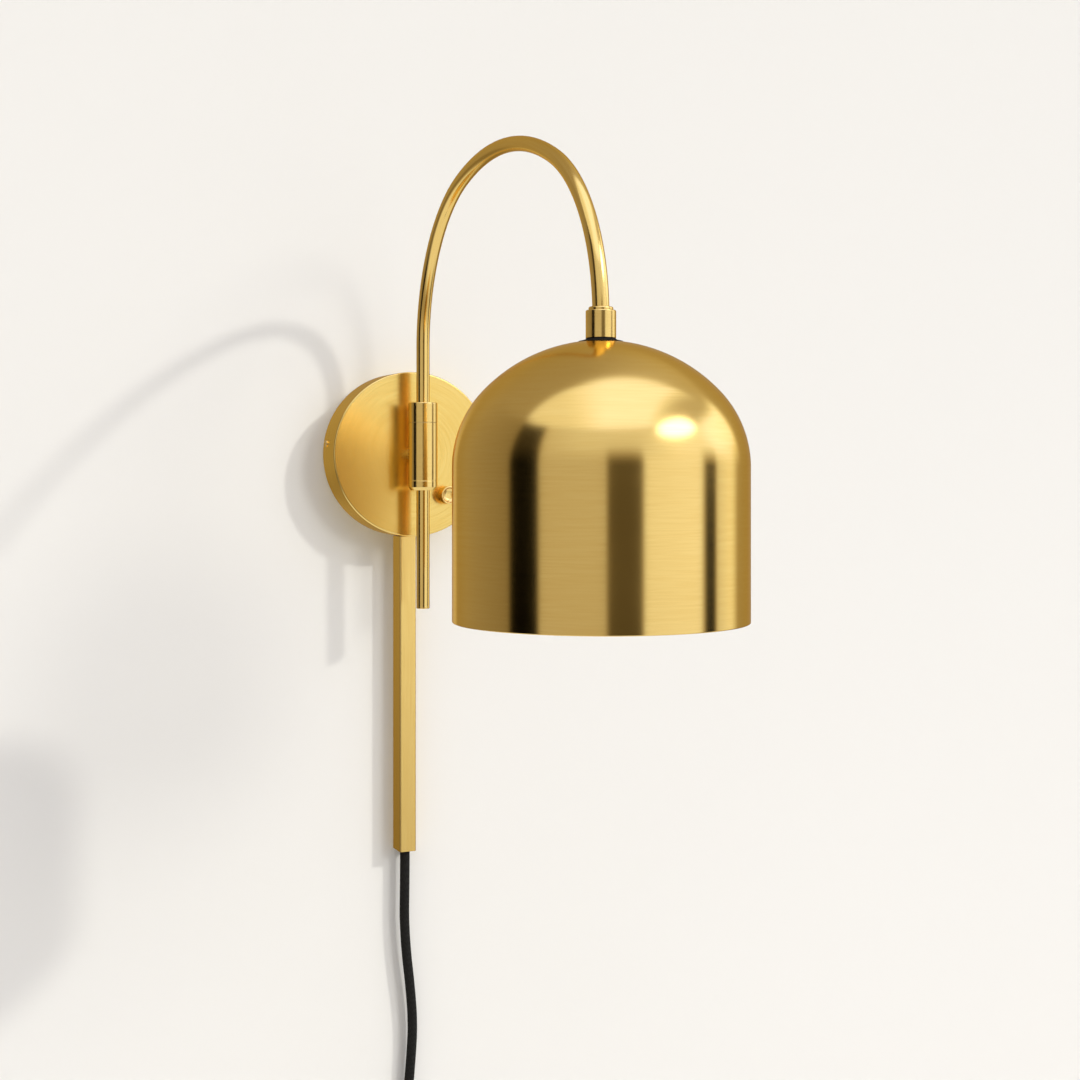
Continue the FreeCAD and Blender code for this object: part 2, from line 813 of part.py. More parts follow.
# ---------------------------------------------------------------------------------------------
# Arm: the arched tube and what is in it
# ---------------------------------------------------------------------------------------------
def arch_start_values():
    """The centre of the crown arc and the angles where it meets the two bends."""
    bend, crown = number("arch_bend_radius"), number("arch_crown_radius")
    wall = Vector(-bend, number("arch_spring_wall"), 0)
    shade = Vector(bend - number("arm_reach"), number("arch_spring_shade"), 0)
    half = (shade - wall) / 2
    drop = math.sqrt((crown - bend) ** 2 - half.Length ** 2)
    down = Vector(-half.y, half.x, 0).normalize()
    centre = wall + half + down * drop
    angles = [math.atan2(p.y - centre.y, p.x - centre.x) for p in (wall, shade)]
    return centre, angles


def arch_spine(body, start, end):
    """The arm's centre line: straight up from start, over the arch and straight down to end."""
    bend, crown = number("arch_bend_radius"), number("arch_crown_radius")
    reach, foot = number("arm_reach"), number(start)
    centre, (first, last) = arch_start_values()
    level = Vector(0, foot, 0)
    wall_bend = Vector(-bend, number("arch_spring_wall"), 0) - level
    shade_bend = Vector(bend - reach, number("arch_spring_shade"), 0) - level
    sketch = new_sketch(body, "YZ_Plane")
    sketch.addGeometry(Part.LineSegment(Vector(), Vector(0, wall_bend.y, 0)))
    sketch.addGeometry(Part.ArcOfCircle(Part.Circle(wall_bend, UP, bend), 0, first))
    sketch.addGeometry(Part.ArcOfCircle(Part.Circle(centre - level, UP, crown), first, last))
    sketch.addGeometry(Part.ArcOfCircle(Part.Circle(shade_bend, UP, bend), last, math.pi))
    foot_of_leg = Vector(-reach, number(end) - foot, 0)
    sketch.addGeometry(Part.LineSegment(Vector(-reach, shade_bend.y, 0), foot_of_leg))
    sketch.addConstraint(Sketcher.Constraint("Coincident", 0, 1, -1, 1))
    sketch.addConstraint(Sketcher.Constraint("Vertical", 0))
    sketch.addConstraint(Sketcher.Constraint("Vertical", 4))
    for side in range(4):
        sketch.addConstraint(Sketcher.Constraint("Tangent", side, 2, side + 1, 1))
    for side, radius in ((1, "bend"), (2, "crown"), (3, "bend")):
        hold_radius(sketch, side, "arch_%s_radius" % radius)
    heights = (
        (0, 2, "arch_spring_wall - (%s)" % start),
        (4, 1, "arch_spring_shade - (%s)" % start),
    )
    for side, point, expression in heights:
        index = sketch.addConstraint(
            Sketcher.Constraint("DistanceY", side, point, number(expression))
        )
        sketch.setExpression("Constraints[%d]" % index, full(expression))
    hold_point(sketch, 4, 2, "-arm_reach", "%s - (%s)" % (end, start))
    return sketch


def arched_tube(label, start, end, radii):
    """A tube or rod that follows the arm's centre line."""
    body = new_body(label, y="arm_axis", z=start)
    spine = arch_spine(body, start, end)
    section = new_sketch(body, "XY_Plane")
    for radius in radii:
        circle(section, 0, 0, radius)
    pipe = body.newObject("PartDesign::AdditivePipe", label + "_pipe")
    pipe.Profile = section
    pipe.Spine = (spine, ["Edge%d" % (edge + 1) for edge in range(5)])
    doc.recompute()
    return body


def arm_tube():
    radii = ("arm_radius", "arm_radius - arm_wall")
    body = arched_tube("arm_tube", "tube_start", "arm_end_height", radii)
    window = (0, "-tube_start", "wire_window / 2")
    drilled(body, "XZ_Plane", [window], "arm_radius + 1")


def arm_tail_plug():
    body = new_body("arm_tail_plug", y="arm_axis")
    shank = "arm_radius - arm_wall - running_clearance"
    corners = [
        (0, "tail_end"),
        ("arm_radius - tail_plug_bevel", "tail_end"),
        ("arm_radius", "tail_end + tail_plug_bevel"),
        ("arm_radius", "tube_start"),
        (shank, "tube_start"),
        (shank, "tube_start + tail_plug_shank"),
        (0, "tube_start + tail_plug_shank"),
    ]
    turned(body, "XZ_Plane", corners)


# ---------------------------------------------------------------------------------------------
# Arm's end: holder, nipple, shade and lamp socket
# ---------------------------------------------------------------------------------------------
def shade_holder():
    body = new_body("shade_holder", y="shade_axis")
    radius = "holder_diameter / 2"
    bore, thread = "arm_radius + hole_clearance", "nipple_diameter / 2 + thread_clearance"
    corners = [
        (thread, "holder_bottom"),
        (radius, "holder_bottom"),
        (radius, "holder_top - holder_bevel"),
        (radius + " - holder_bevel", "holder_top"),
        (bore, "holder_top"),
        (bore, "arm_end_height - rest_gap"),
        (thread, "arm_end_height - rest_gap"),
    ]
    turned(body, "XZ_Plane", corners)
    ring = new_body("arm_lock_ring", y="shade_axis")
    top = "holder_top + lock_ring_height"
    bore = "arm_radius + rest_gap"
    radius = bore + " + lock_ring_wall"
    corners = [
        (bore, "holder_top"),
        (radius, "holder_top"),
        (radius, top + " - lock_ring_bevel"),
        (radius + " - lock_ring_bevel", top),
        (bore, top),
    ]
    turned(ring, "XZ_Plane", corners)


def threaded_nipple():
    body = new_body("threaded_nipple", y="shade_axis")
    top = "arm_end_height - rest_gap"
    bore, radius = "lead_radius + nipple_bore_clearance", "nipple_diameter / 2"
    corners = [(bore, "thread_end"), (radius, "thread_end"), (radius, top), (bore, top)]
    turned(body, "XZ_Plane", corners)


def shade_gasket():
    body = new_body("shade_gasket", y="shade_axis")
    bore = "nipple_diameter / 2 + hole_clearance"
    rim = "gasket_diameter / 2"
    corners = [
        (bore, "land_top"),
        ("shade_land_radius", "land_top"),
        (rim, "land_top - gasket_droop"),
        (rim, "land_top - gasket_droop + gasket_edge"),
        ("shade_land_radius", "holder_bottom"),
        (bore, "holder_bottom"),
    ]
    turned(body, "XZ_Plane", corners)


def shade():
    body = new_body("shade", y="shade_axis")
    across, lift = "shoulder_across / centres_apart", "shoulder_lift / centres_apart"
    meeting = [
        (
            "%s * %s" % (radius, across),
            "dome_centre + %s * %s" % (radius, lift),
        )
        for radius in ("shade_dome_radius", "dome_inside_radius")
    ]
    hole = "nipple_diameter / 2 + shade_hole_clearance"
    corners = [
        ("shade_inside", "shade_rim"),
        ("shade_radius - shade_rim_radius", "shade_rim"),
        ("shade_radius", "shade_rim + shade_rim_radius"),
        ("shade_radius", "shoulder_height"),
        meeting[0],
        ("shade_land_radius", "land_top"),
        (hole, "land_top"),
        (hole, "land_bottom"),
        ("land_inside_radius", "land_bottom"),
        meeting[1],
        ("shade_inside", "shoulder_height"),
    ]
    outer = {1: "shade_rim_radius", 3: "shade_shoulder_radius", 4: "shade_dome_radius"}
    inner = {8: "dome_inside_radius", 9: "shade_shoulder_radius - shade_wall"}
    turned(body, "XZ_Plane", corners, left=outer, right=inner)


def shade_locknut():
    hex_nut(
        "shade_locknut", "shade_nut_width", "shade_nut_thickness",
        "nipple_diameter / 2 + thread_clearance", y="shade_axis", z="shade_nut_bottom",
    )


def socket_cap():
    body = new_body("socket_cap", y="shade_axis")
    bore = "nipple_diameter / 2 + thread_clearance"
    skirt_top = "cap_bottom + cap_skirt_height"
    corners = [
        ("cap_inside_radius", "cap_bottom"),
        ("socket_radius", "cap_bottom"),
        ("socket_radius", skirt_top),
        ("socket_radius - cap_shoulder_inset", skirt_top + " + cap_shoulder_rise"),
        ("cap_neck_radius", "shade_nut_bottom - cap_neck_length"),
        ("cap_neck_radius", "shade_nut_bottom"),
        (bore, "shade_nut_bottom"),
        (bore, "thread_end"),
        ("cap_neck_radius", "thread_end"),
        ("cap_inside_radius", skirt_top),
    ]
    turned(body, "XZ_Plane", corners)
    hole = (0, "cap_screw_level", "cap_screw_diameter / 2 + thread_clearance")
    drilled(body, "XZ_Plane", [hole])


def socket_body():
    body = new_body("socket_body", y="shade_axis")
    spigot = "cap_inside_radius - running_clearance"
    bore = "shell_radius + running_clearance"
    spigot_top = "cap_bottom + socket_spigot"
    corners = [
        (bore, "socket_bottom"),
        ("socket_radius", "socket_bottom"),
        ("socket_radius", "cap_bottom"),
        (spigot, "cap_bottom"),
        (spigot, spigot_top),
        (0, spigot_top),
        (0, "shell_top"),
        (bore, "shell_top"),
    ]
    turned(body, "XZ_Plane", corners)
    hole = (0, "cap_screw_level", "cap_screw_diameter / 2 + thread_clearance")
    drilled(body, "XZ_Plane", [hole])
    wire_holes = new_sketch(body, "XY_Plane")
    bind(wire_holes, **{"AttachmentOffset.Base.z": "shell_top"})
    for sign in (-1, 1):
        across = "%d * contact_wire_offset" % sign
        circle(wire_holes, across, 0, "wire_diameter / 2 + hole_clearance")
    cut(body, wire_holes, "socket_floor + socket_spigot", backward=True)


def socket_cap_screws():
    """Two screws through the cap's skirt into the socket's spigot."""
    solids = []
    for name, sign in (("front", -1), ("back", 1)):
        start = "shade_axis + %d * (socket_radius - cap_screw_length)" % sign
        shank = cylinder(
            name + "_cap_screw", "cap_screw_diameter / 2", "cap_screw_length",
            y=start, z="cap_screw_level", along=Vector(0, sign, 0),
        )
        solids.append(shank)
    together("socket_cap_screws", solids)


def screw_shell():
    body = new_body("screw_shell", y="shade_axis")
    bottom = "socket_bottom + screw_shell_recess"
    inside = "shell_radius - screw_shell_wall"
    corners = [
        (inside, bottom),
        ("shell_radius", bottom),
        ("shell_radius", "shell_top"),
        (inside, "shell_top"),
    ]
    turned(body, "XZ_Plane", corners)
    cylinder_y = dict(y="shade_axis", z="contact_bottom")
    contact = cylinder("centre_contact", "contact_diameter / 2", "contact_height", **cylinder_y)
    keep(contact, "centre_contact")


# ---------------------------------------------------------------------------------------------
# Bulb
# ---------------------------------------------------------------------------------------------
def bulb():
    base = new_body("bulb_base", y="shade_axis")
    tip = "bulb_tip_diameter / 2"
    corners = [
        (0, "glass_top"),
        ("bulb_base_radius", "glass_top"),
        ("bulb_base_radius", "bulb_tip - bulb_base_shoulder"),
        (tip + " + bulb_tip_height", "bulb_tip - bulb_tip_height"),
        (tip, "bulb_tip"),
        (0, "bulb_tip"),
    ]
    turned(base, "XZ_Plane", corners)
    glass = new_body("bulb_glass", y="shade_axis")
    neck = "bulb_neck_diameter / 2"
    inner = "bulb_globe_radius - bulb_glass_wall"
    neck_foot = "glass_top - bulb_neck_length"
    upper, lower = "bulb_neck_angle * 1 deg", "-bulb_lower_angle * 1 deg"

    def on_globe(radius, angle):
        """A point of the globe's outline, at an angle from its equator."""
        across = "(%s) * cos(%s)" % (radius, angle)
        return across, "globe_centre + (%s) * sin(%s)" % (radius, angle)

    corners = [
        (neck + " - bulb_glass_wall", "glass_top"),
        (neck + " - bulb_glass_wall", neck_foot),
        on_globe(inner, upper),
        on_globe(inner, lower),
        (0, "globe_centre - (%s)" % inner),
        (0, "glass_bottom"),
        on_globe("bulb_globe_radius", lower),
        on_globe("bulb_globe_radius", upper),
        (neck, neck_foot),
        (neck, "glass_top"),
    ]
    arcs_inside = {2: inner, 3: inner}
    arcs_outside = {5: "bulb_globe_radius", 6: "bulb_globe_radius"}
    turned(glass, "XZ_Plane", corners, left=arcs_outside, right=arcs_inside)


# ---------------------------------------------------------------------------------------------
# Dimmer and its knob
# ---------------------------------------------------------------------------------------------
def dimmer():
    body = new_body("dimmer_body", x="dimmer_across", z="dimmer_height")
    sketch = new_sketch(body, "XZ_Plane")
    half_width, half_height = "dimmer_body_width / 2", "dimmer_body_height / 2"
    rectangle(sketch, "-" + half_width, "-" + half_height, half_width, half_height)
    bind(sketch, **{"AttachmentOffset.Base.z": "-canopy_face_inside"})
    padded(body, sketch, "dimmer_body_depth", backward=True)
    root = "canopy_face_inside + 1"
    radius = "dimmer_bush_diameter / 2"
    bush = [(root, 0), (root, radius), ("dimmer_bush_end", radius), ("dimmer_bush_end", 0)]
    turned(body, "YZ_Plane", bush)
    shaft = "dimmer_shaft_diameter / 2 + running_clearance"
    hole = new_sketch(body, "XZ_Plane")
    circle(hole, 0, 0, shaft)
    bind(hole, **{"AttachmentOffset.Base.z": "-dimmer_bush_end"})
    cut(body, hole, "dimmer_shaft_end - dimmer_bush_end")
    hex_nut(
        "dimmer_nut", "dimmer_nut_width", "dimmer_nut_thickness",
        "dimmer_bush_diameter / 2 + thread_clearance",
        x="dimmer_across", y="canopy_face", z="dimmer_height", along=OUTWARD,
    )


def dimmer_knob():
    body = new_body("dimmer_knob", x="dimmer_across", z="dimmer_height")
    radius = "knob_diameter / 2"
    recess = "dimmer_nut_width / 2 / cos(30 deg) + knob_nut_clearance"
    shaft = "dimmer_shaft_diameter / 2 + running_clearance"
    corners = [
        ("knob_back", recess),
        ("knob_back", radius),
        ("knob_front + knob_bevel", radius),
        ("knob_front", radius + " - knob_bevel"),
        ("knob_front", "knob_dish_diameter / 2"),
        ("knob_dish_floor", 0),
        ("knob_socket_floor", 0),
        ("knob_socket_floor", shaft),
        ("knob_recess_floor", shaft),
        ("knob_recess_floor", recess),
    ]
    turned(body, "YZ_Plane", corners)
    inner_end = "dimmer_shaft_end - rest_gap"
    length = "dimmer_shaft_end - rest_gap - knob_socket_floor"
    rod = cylinder(
        "dimmer_shaft", "dimmer_shaft_diameter / 2", length,
        x="dimmer_across", y=inner_end, z="dimmer_height", along=OUTWARD,
    )
    keep(rod, "dimmer_shaft")


# ---------------------------------------------------------------------------------------------
# Cord cover, its rail and the cord grip
# ---------------------------------------------------------------------------------------------
def cord_cover():
    body = new_body("cord_cover", z="cover_top")
    sketch = new_sketch(body, "XY_Plane")
    side, front, edge = "(cover_inside + cover_wall)", "-cover_depth", "cover_edge_radius"
    corners = [
        ("-" + side, 0),
        ("-" + side, front + " + " + edge),
        ("-" + side + " + " + edge, front),
        (side + " - " + edge, front),
        (side, front + " + " + edge),
        (side, 0),
        ("cover_inside", 0),
        ("cover_inside", front + " + cover_wall"),
        ("-cover_inside", front + " + cover_wall"),
        ("-cover_inside", 0),
    ]
    outline(sketch, corners, left={1: edge, 3: edge})
    padded(body, sketch, "cover_length", backward=True)


def cord_cover_rail():
    body = new_body("cord_cover_rail", z="cover_top")
    sketch = new_sketch(body, "XY_Plane")
    side = "cover_inside - rail_clearance"
    rectangle(sketch, "-(%s)" % side, "-rail_thickness", side, 0)
    padded(body, sketch, "cover_length", backward=True)
    radius = "rail_hole_diameter / 2"
    holes = [
        (0, "-rail_first_hole", radius),
        (0, "-rail_first_hole - rail_hole_spacing", radius),
    ]
    drilled(body, "XZ_Plane", holes)


def cord_grip():
    body = new_body("cord_grip", y="cord_line")
    bore = "cord_radius + grip_bore_clearance"
    tube, flange = "grip_diameter / 2", "grip_flange_diameter / 2"
    flange_top = "grip_flange_bottom + grip_flange_thickness"
    corners = [
        (bore, "grip_bottom"),
        (tube, "grip_bottom"),
        (tube, "grip_flange_bottom"),
        (flange, "grip_flange_bottom"),
        (flange, flange_top),
        (tube, flange_top),
        (tube, "grip_top"),
        (bore, "grip_top"),
    ]
    turned(body, "XZ_Plane", corners)
    jacket = cylinder(
        "cord_in_cover", "cord_radius", "grip_top - cover_bottom", y="cord_line", z="cover_bottom"
    )
    keep(jacket, "cord_in_cover")


# ---------------------------------------------------------------------------------------------
# Wires
# ---------------------------------------------------------------------------------------------
def stem_lead():
    """The lead in the stem, up to the barrel's chamber beside the arm's tube."""
    end = "arm_axis + arm_radius + rest_gap"
    start = "canopy_face + stem_thread_length"
    lead = cylinder(
        "stem_lead", "lead_radius", "%s - (%s)" % (start, end), y=end,
        along=Vector(0, 1, 0),
    )
    keep(lead, "stem_lead")


def canopy_wires():
    """The conductors in the canopy, from the cord and the stem's lead to their connectors."""
    diameter = number("wire_diameter")
    cord_top, cord_y = number("grip_top"), number("cord_line")
    lead_end = number("canopy_face + stem_thread_length")
    mouth, deep = number("connector_rise"), -number("connector_wall_distance")
    side = number("connector_across")
    dimmer_side = number("dimmer_across - dimmer_body_width / 2")
    dimmer_top = number("dimmer_height + dimmer_body_height / 2")
    dimmer_x, dimmer_z = number("dimmer_across"), number("dimmer_height")
    mid_y = number("canopy_face_inside + dimmer_body_depth / 2")
    half, short, long = (
        number(size) for size in ("wire_half_spacing", "wire_short_lead", "wire_long_lead")
    )
    runs = [
        [
            (half, cord_y, cord_top),
            (half, cord_y, cord_top + long),
            (dimmer_side - long, mid_y, dimmer_z),
            (dimmer_side, mid_y, dimmer_z),
        ],
        [
            (-half, cord_y, cord_top),
            (-half, cord_y, cord_top + long),
            (-side - half, deep, 0),
            (-side - half, deep, mouth),
        ],
        [
            (dimmer_x, mid_y, dimmer_top),
            (dimmer_x, mid_y, dimmer_top + long),
            (side + half, deep, mouth - 2 * long),
            (side + half, deep, mouth),
        ],
    ]
    for sign in (-1, 1):
        runs.append([
            (sign * half, lead_end, 0),
            (sign * half, lead_end + short, 0),
            (sign * (side - half), deep, mouth - long),
            (sign * (side - half), deep, mouth),
        ])
    shaped("canopy_wires", Part.Compound([wire_run(run, diameter) for run in runs]))


def wire_connectors():
    """Two twist-on connectors, one for each conductor."""
    cones = []
    for name, sign in (("left", -1), ("right", 1)):
        cone = doc.addObject("Part::Cone", name + "_connector")
        bind(
            cone,
            Radius1="connector_mouth_radius",
            Radius2="connector_tip_radius",
            Height="connector_length",
        )
        place(
            cone, "%d * connector_across" % sign, "-connector_wall_distance", "connector_rise"
        )
        cones.append(cone)
    together("wire_connectors", cones)


# ---------------------------------------------------------------------------------------------
# Cord: the hanging run, the coil, its tie and the plug
# ---------------------------------------------------------------------------------------------
class Coil:
    """A flat coil of two layers: it winds in behind, climbs a layer and winds out in front."""

    def __init__(self):
        self.cord = number("cord_diameter")
        self.pitch = self.cord + number("coil_gap")
        self.inner = number("coil_inner_radius")
        self.back = -number("coil_wall_distance")
        self.centre = Vector(number("coil_centre_across"), 0, -number("coil_centre_drop"))
        self.entry = math.radians(number("coil_entry_angle"))
        leftover = number("coil_exit_angle") - number("coil_entry_angle")
        self.sweep = math.radians(360 * number("coil_whole_turns") + leftover)
        self.middle = self.sweep / 2

    def radius(self, travel):
        """Distance of the cord's centre from the coil's centre after a given turn."""
        return self.inner + self.pitch * abs(travel - self.middle) / (2 * math.pi)

    def depth(self, travel):
        """The layer's place, with a smooth climb in the half turn where the spiral reverses."""
        share = (travel - self.middle) / math.pi + 0.5
        share = min(max(share, 0), 1)
        return self.back - self.pitch * share * share * (3 - 2 * share)

    def point(self, travel):
        angle = self.entry + travel
        radius = self.radius(travel)
        x, z = radius * math.cos(angle), radius * math.sin(angle)
        return self.centre + Vector(x, self.depth(travel), z)

    def heading(self, travel):
        """The way along the cord, taken from both sides so that the reversal is smooth."""
        step = 1e-3
        before, after = max(travel - step, 0), min(travel + step, self.sweep)
        return (self.point(after) - self.point(before)).normalize()

    def stations(self):
        """A quarter turn apart from the middle outwards, with a part turn at each end."""
        quarter = math.pi / 2
        count = int(self.middle / quarter)
        inner = [self.middle + k * quarter for k in range(-count, count + 1)]
        return [0.0] + [t for t in inner if 0.2 < t < self.sweep - 0.2] + [self.sweep]


def two_arcs(start, heading, end, end_heading):
    """Two tangent arcs from one point and direction to another."""
    gap = end - start
    mix = heading + end_heading
    a = 2 * (1 - heading.dot(end_heading))
    b = 2 * gap.dot(mix)
    reach = (-b + math.sqrt(b * b + 4 * a * gap.dot(gap))) / (2 * a)
    first, second = start + heading * reach, end - end_heading * reach
    joint = (first + second) / 2
    arcs = []
    for here, corner, there in ((start, first, joint), (joint, second, end)):
        back, ahead = (here - corner).normalize(), (there - corner).normalize()
        half_turn = (math.pi - back.getAngle(ahead)) / 2
        radius = (here - corner).Length / math.tan(half_turn)
        middle = corner + (back + ahead).normalize() * (radius / math.cos(half_turn) - radius)
        arcs.append(Part.Arc(here, middle, there).toShape())
    return arcs


def coil_path(coil):
    """The coil's centre line, with a straight end at the entry and the tail to the plug."""
    stations = coil.stations()
    places = [coil.point(travel) for travel in stations]
    headings = [coil.heading(travel) for travel in stations]
    headings[-1] = Vector(0, 0, -1)
    start = places[0] - headings[0] * coil.cord
    edges = [Part.LineSegment(start, places[0]).toShape()]
    for index in range(len(places) - 1):
        edges += two_arcs(
            places[index], headings[index], places[index + 1], headings[index + 1]
        )
    end = places[-1] + headings[-1] * number("coil_tail")
    edges.append(Part.LineSegment(places[-1], end).toShape())
    return Part.Wire(edges), start, headings[0], end, headings[-1]


def least_gap(path, diameter):
    """The least distance between turns that aren't neighbours along the cord."""
    step = 2.0
    points = path.discretize(Distance=step)
    apart = int(4 * diameter / step)
    nearest = min(
        (points[j] - points[i]).Length
        for i in range(len(points))
        for j in range(i + apart, len(points))
    )
    return nearest - diameter


def hanging_cord():
    diameter = number("cord_diameter")
    coil = Coil()
    path, start, heading, end, end_heading = coil_path(coil)
    exit_point = Vector(0, number("cord_line"), number("cover_bottom"))
    points = [exit_point] + [Vector(*point) for point in CORD_ROUTE]
    points += [start - heading * number("coil_lead_in"), start]
    route = rounded_path(points, "cord", report=True)
    section = math.pi * diameter ** 2 / 4
    for label, line, first, direction in (
        ("cord_free", route, exit_point, points[1] - points[0]),
        ("cord_coil", path, start, heading),
    ):
        item = shaped(label, tube_along(line, first, direction, diameter))
        share = item.Shape.Volume / (section * line.Length)
        print(label, "length %.1f, volume over section by length %.4f" % (line.Length, share))
    print("coil's least gap to itself %.2f" % least_gap(path, diameter))
    print("cord in all %.1f" % (route.Length + path.Length))
    return coil, end, end_heading


def coil_tie(coil):
    """A strap round all the turns, near the top of the coil."""
    angle = math.radians(number("tie_angle"))
    travels = [angle - coil.entry + 2 * math.pi * turn for turn in range(1, 8)]
    passes = [coil.point(t) - coil.centre for t in travels if 0 < t < coil.sweep]
    reach = coil.cord / 2 + number("tie_clearance")
    radii = [math.hypot(p.x, p.z) for p in passes]
    depths = [p.y for p in passes]
    low = Vector(min(radii) - reach, min(depths) - reach, -number("tie_width") / 2)
    high = Vector(max(radii) + reach, max(depths) + reach, number("tie_width") / 2)
    wall = Vector(1, 1, 0) * number("tie_thickness")
    size = high - low
    hole = Part.makeBox(size.x, size.y, size.z, low)
    size = size + wall * 2
    band = Part.makeBox(size.x, size.y, size.z, low - wall)
    upright = [edge for edge in band.Edges if abs(edge.tangentAt(edge.FirstParameter).z) > 0.9]
    strap = band.makeFillet(number("tie_thickness"), upright).cut(hole)
    turn = FreeCAD.Rotation(Vector(0, -1, 0), math.degrees(angle))
    strap.Placement = FreeCAD.Placement(coil.centre, turn)
    shaped("coil_tie", Part.Solid(strap.Solids[0]))


def plug(end, heading):
    """The plug at the cord's end; it hangs along the tail's direction."""
    top = end.z
    body = new_body("plug_relief", x=end.x, y=end.y, z=top)
    cord, wide = "cord_radius + running_clearance", "plug_relief_radius"
    length = "-plug_relief_length"
    turned(body, "XZ_Plane", [(0, 0), (0, length), (wide, length), ("cord_radius", 0)])
    shell = new_body("plug_body", x=end.x, y=end.y, z="%f - plug_relief_length" % top)
    sketch = new_sketch(shell, "XY_Plane")
    half_x, half_y, corner = "plug_width / 2", "plug_thickness / 2", "plug_corner_radius"
    corners = [
        ("-%s + %s" % (half_x, corner), "-" + half_y),
        ("%s - %s" % (half_x, corner), "-" + half_y),
        (half_x, "-%s + %s" % (half_y, corner)),
        (half_x, "%s - %s" % (half_y, corner)),
        ("%s - %s" % (half_x, corner), half_y),
        ("-%s + %s" % (half_x, corner), half_y),
        ("-" + half_x, "%s - %s" % (half_y, corner)),
        ("-" + half_x, "-%s + %s" % (half_y, corner)),
    ]
    outline(sketch, corners, left={side: corner for side in (1, 3, 5, 7)})
    padded(shell, sketch, "plug_length", backward=True)
    blades = []
    for name, sign in (("left", -1), ("right", 1)):
        blades.append(block(
            name + "_blade", "blade_thickness", "blade_width", "blade_length",
            "%f + %d * blade_spacing / 2 - blade_thickness / 2" % (end.x, sign),
            "%f - blade_width / 2" % end.y,
            "%f - plug_relief_length - plug_length - blade_length" % top,
        ))
    together("plug_blades", blades)


# ---------------------------------------------------------------------------------------------
# Build, check and write
# ---------------------------------------------------------------------------------------------
def build():
    mounting_bracket()
    canopy()
    canopy_side_screws()
    arm_stem()
    stem_fasteners()
    barrel()
    barrel_bushes()
    arm_collar()
    arm_tube()
    arm_tail_plug()
    arched_tube("arm_lead", 0, "thread_end", ("lead_radius",))
    shade_holder()
    threaded_nipple()
    shade_gasket()
    shade()
    shade_locknut()
    socket_cap()
    socket_body()
    socket_cap_screws()
    screw_shell()
    bulb()
    dimmer()
    dimmer_knob()
    cord_cover()
    cord_cover_rail()
    cord_grip()
    stem_lead()
    canopy_wires()
    wire_connectors()
    coil, end, heading = hanging_cord()
    coil_tie(coil)
    plug(end, heading)


def check():
    """Stop if an object failed or a sub-part's shape is missing or not valid."""
    doc.recompute()
    for item in doc.Objects:
        failed = [state for state in item.State if state in ("Invalid", "Error")]
        if failed:
            raise ValueError("%s is %s" % (item.Label, failed))
        if item.isDerivedFrom("Sketcher::SketchObject") and not item.FullyConstrained:
            raise ValueError("%s isn't fully constrained" % item.Label)
    for item in nodes:
        if item.Shape.isNull() or not item.Shape.isValid() or not item.Shape.Solids:
            raise ValueError("%s has no valid shape" % item.Label)


def write():
    os.makedirs("parts", exist_ok=True)
    for item in nodes:
        item.Shape.exportStep("parts/%s.step" % item.Label)
    print("wrote", len(nodes), "sub-parts")


build()
check()
write()
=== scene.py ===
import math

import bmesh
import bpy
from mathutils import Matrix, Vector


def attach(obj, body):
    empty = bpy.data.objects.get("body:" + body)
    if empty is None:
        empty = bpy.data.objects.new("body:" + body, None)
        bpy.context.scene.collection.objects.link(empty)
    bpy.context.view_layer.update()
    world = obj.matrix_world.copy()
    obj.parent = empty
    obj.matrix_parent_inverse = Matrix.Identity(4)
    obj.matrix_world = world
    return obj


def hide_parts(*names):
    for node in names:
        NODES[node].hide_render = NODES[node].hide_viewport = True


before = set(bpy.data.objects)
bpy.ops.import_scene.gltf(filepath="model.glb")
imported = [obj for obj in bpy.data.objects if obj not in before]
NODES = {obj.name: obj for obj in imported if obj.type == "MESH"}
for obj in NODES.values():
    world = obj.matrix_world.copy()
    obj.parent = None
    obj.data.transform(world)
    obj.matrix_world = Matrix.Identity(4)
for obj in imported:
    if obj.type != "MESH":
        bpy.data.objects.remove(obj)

# Wall sconce: the dressed pieces, the cord, the wall and floor, the lights and the camera.
# The wall is the plane y = 0, the lamp stands out of it towards -y, and z points up from the
# level of the canopy's centre. Sizes are millimetres until a point is multiplied by MM.

MM = 0.001
WALL, ARM, KNOB = "wall_plate", "swing_arm", "knob"
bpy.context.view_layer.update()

CANOPY_FACE, ARM_AXIS, SHADE_AXIS = -30.0, -52.0, -362.6     # places along y
CANOPY_RADIUS, CANOPY_WALL = 63.5, 1.5
BARREL_RADIUS, BARREL_FOOT, BARREL_TOP, COLLAR_TOP = 11.0, -27.6, 23.0, 38.9
DIMMER = (26.0, -31.6)                                       # x and z of the knob's axis
CONNECTORS = (12.5, -13.0)                                   # x and y of the right-hand one
TUBE_RADIUS, TUBE_WALL, TAIL_END = 5.0, 1.0, -115.8
SHADE_TOP, HOLDER_FOOT, HOLDER_TOP = 61.4, 63.2, 79.4
COVER_TOP, COVER_END = -63.7, -309.6


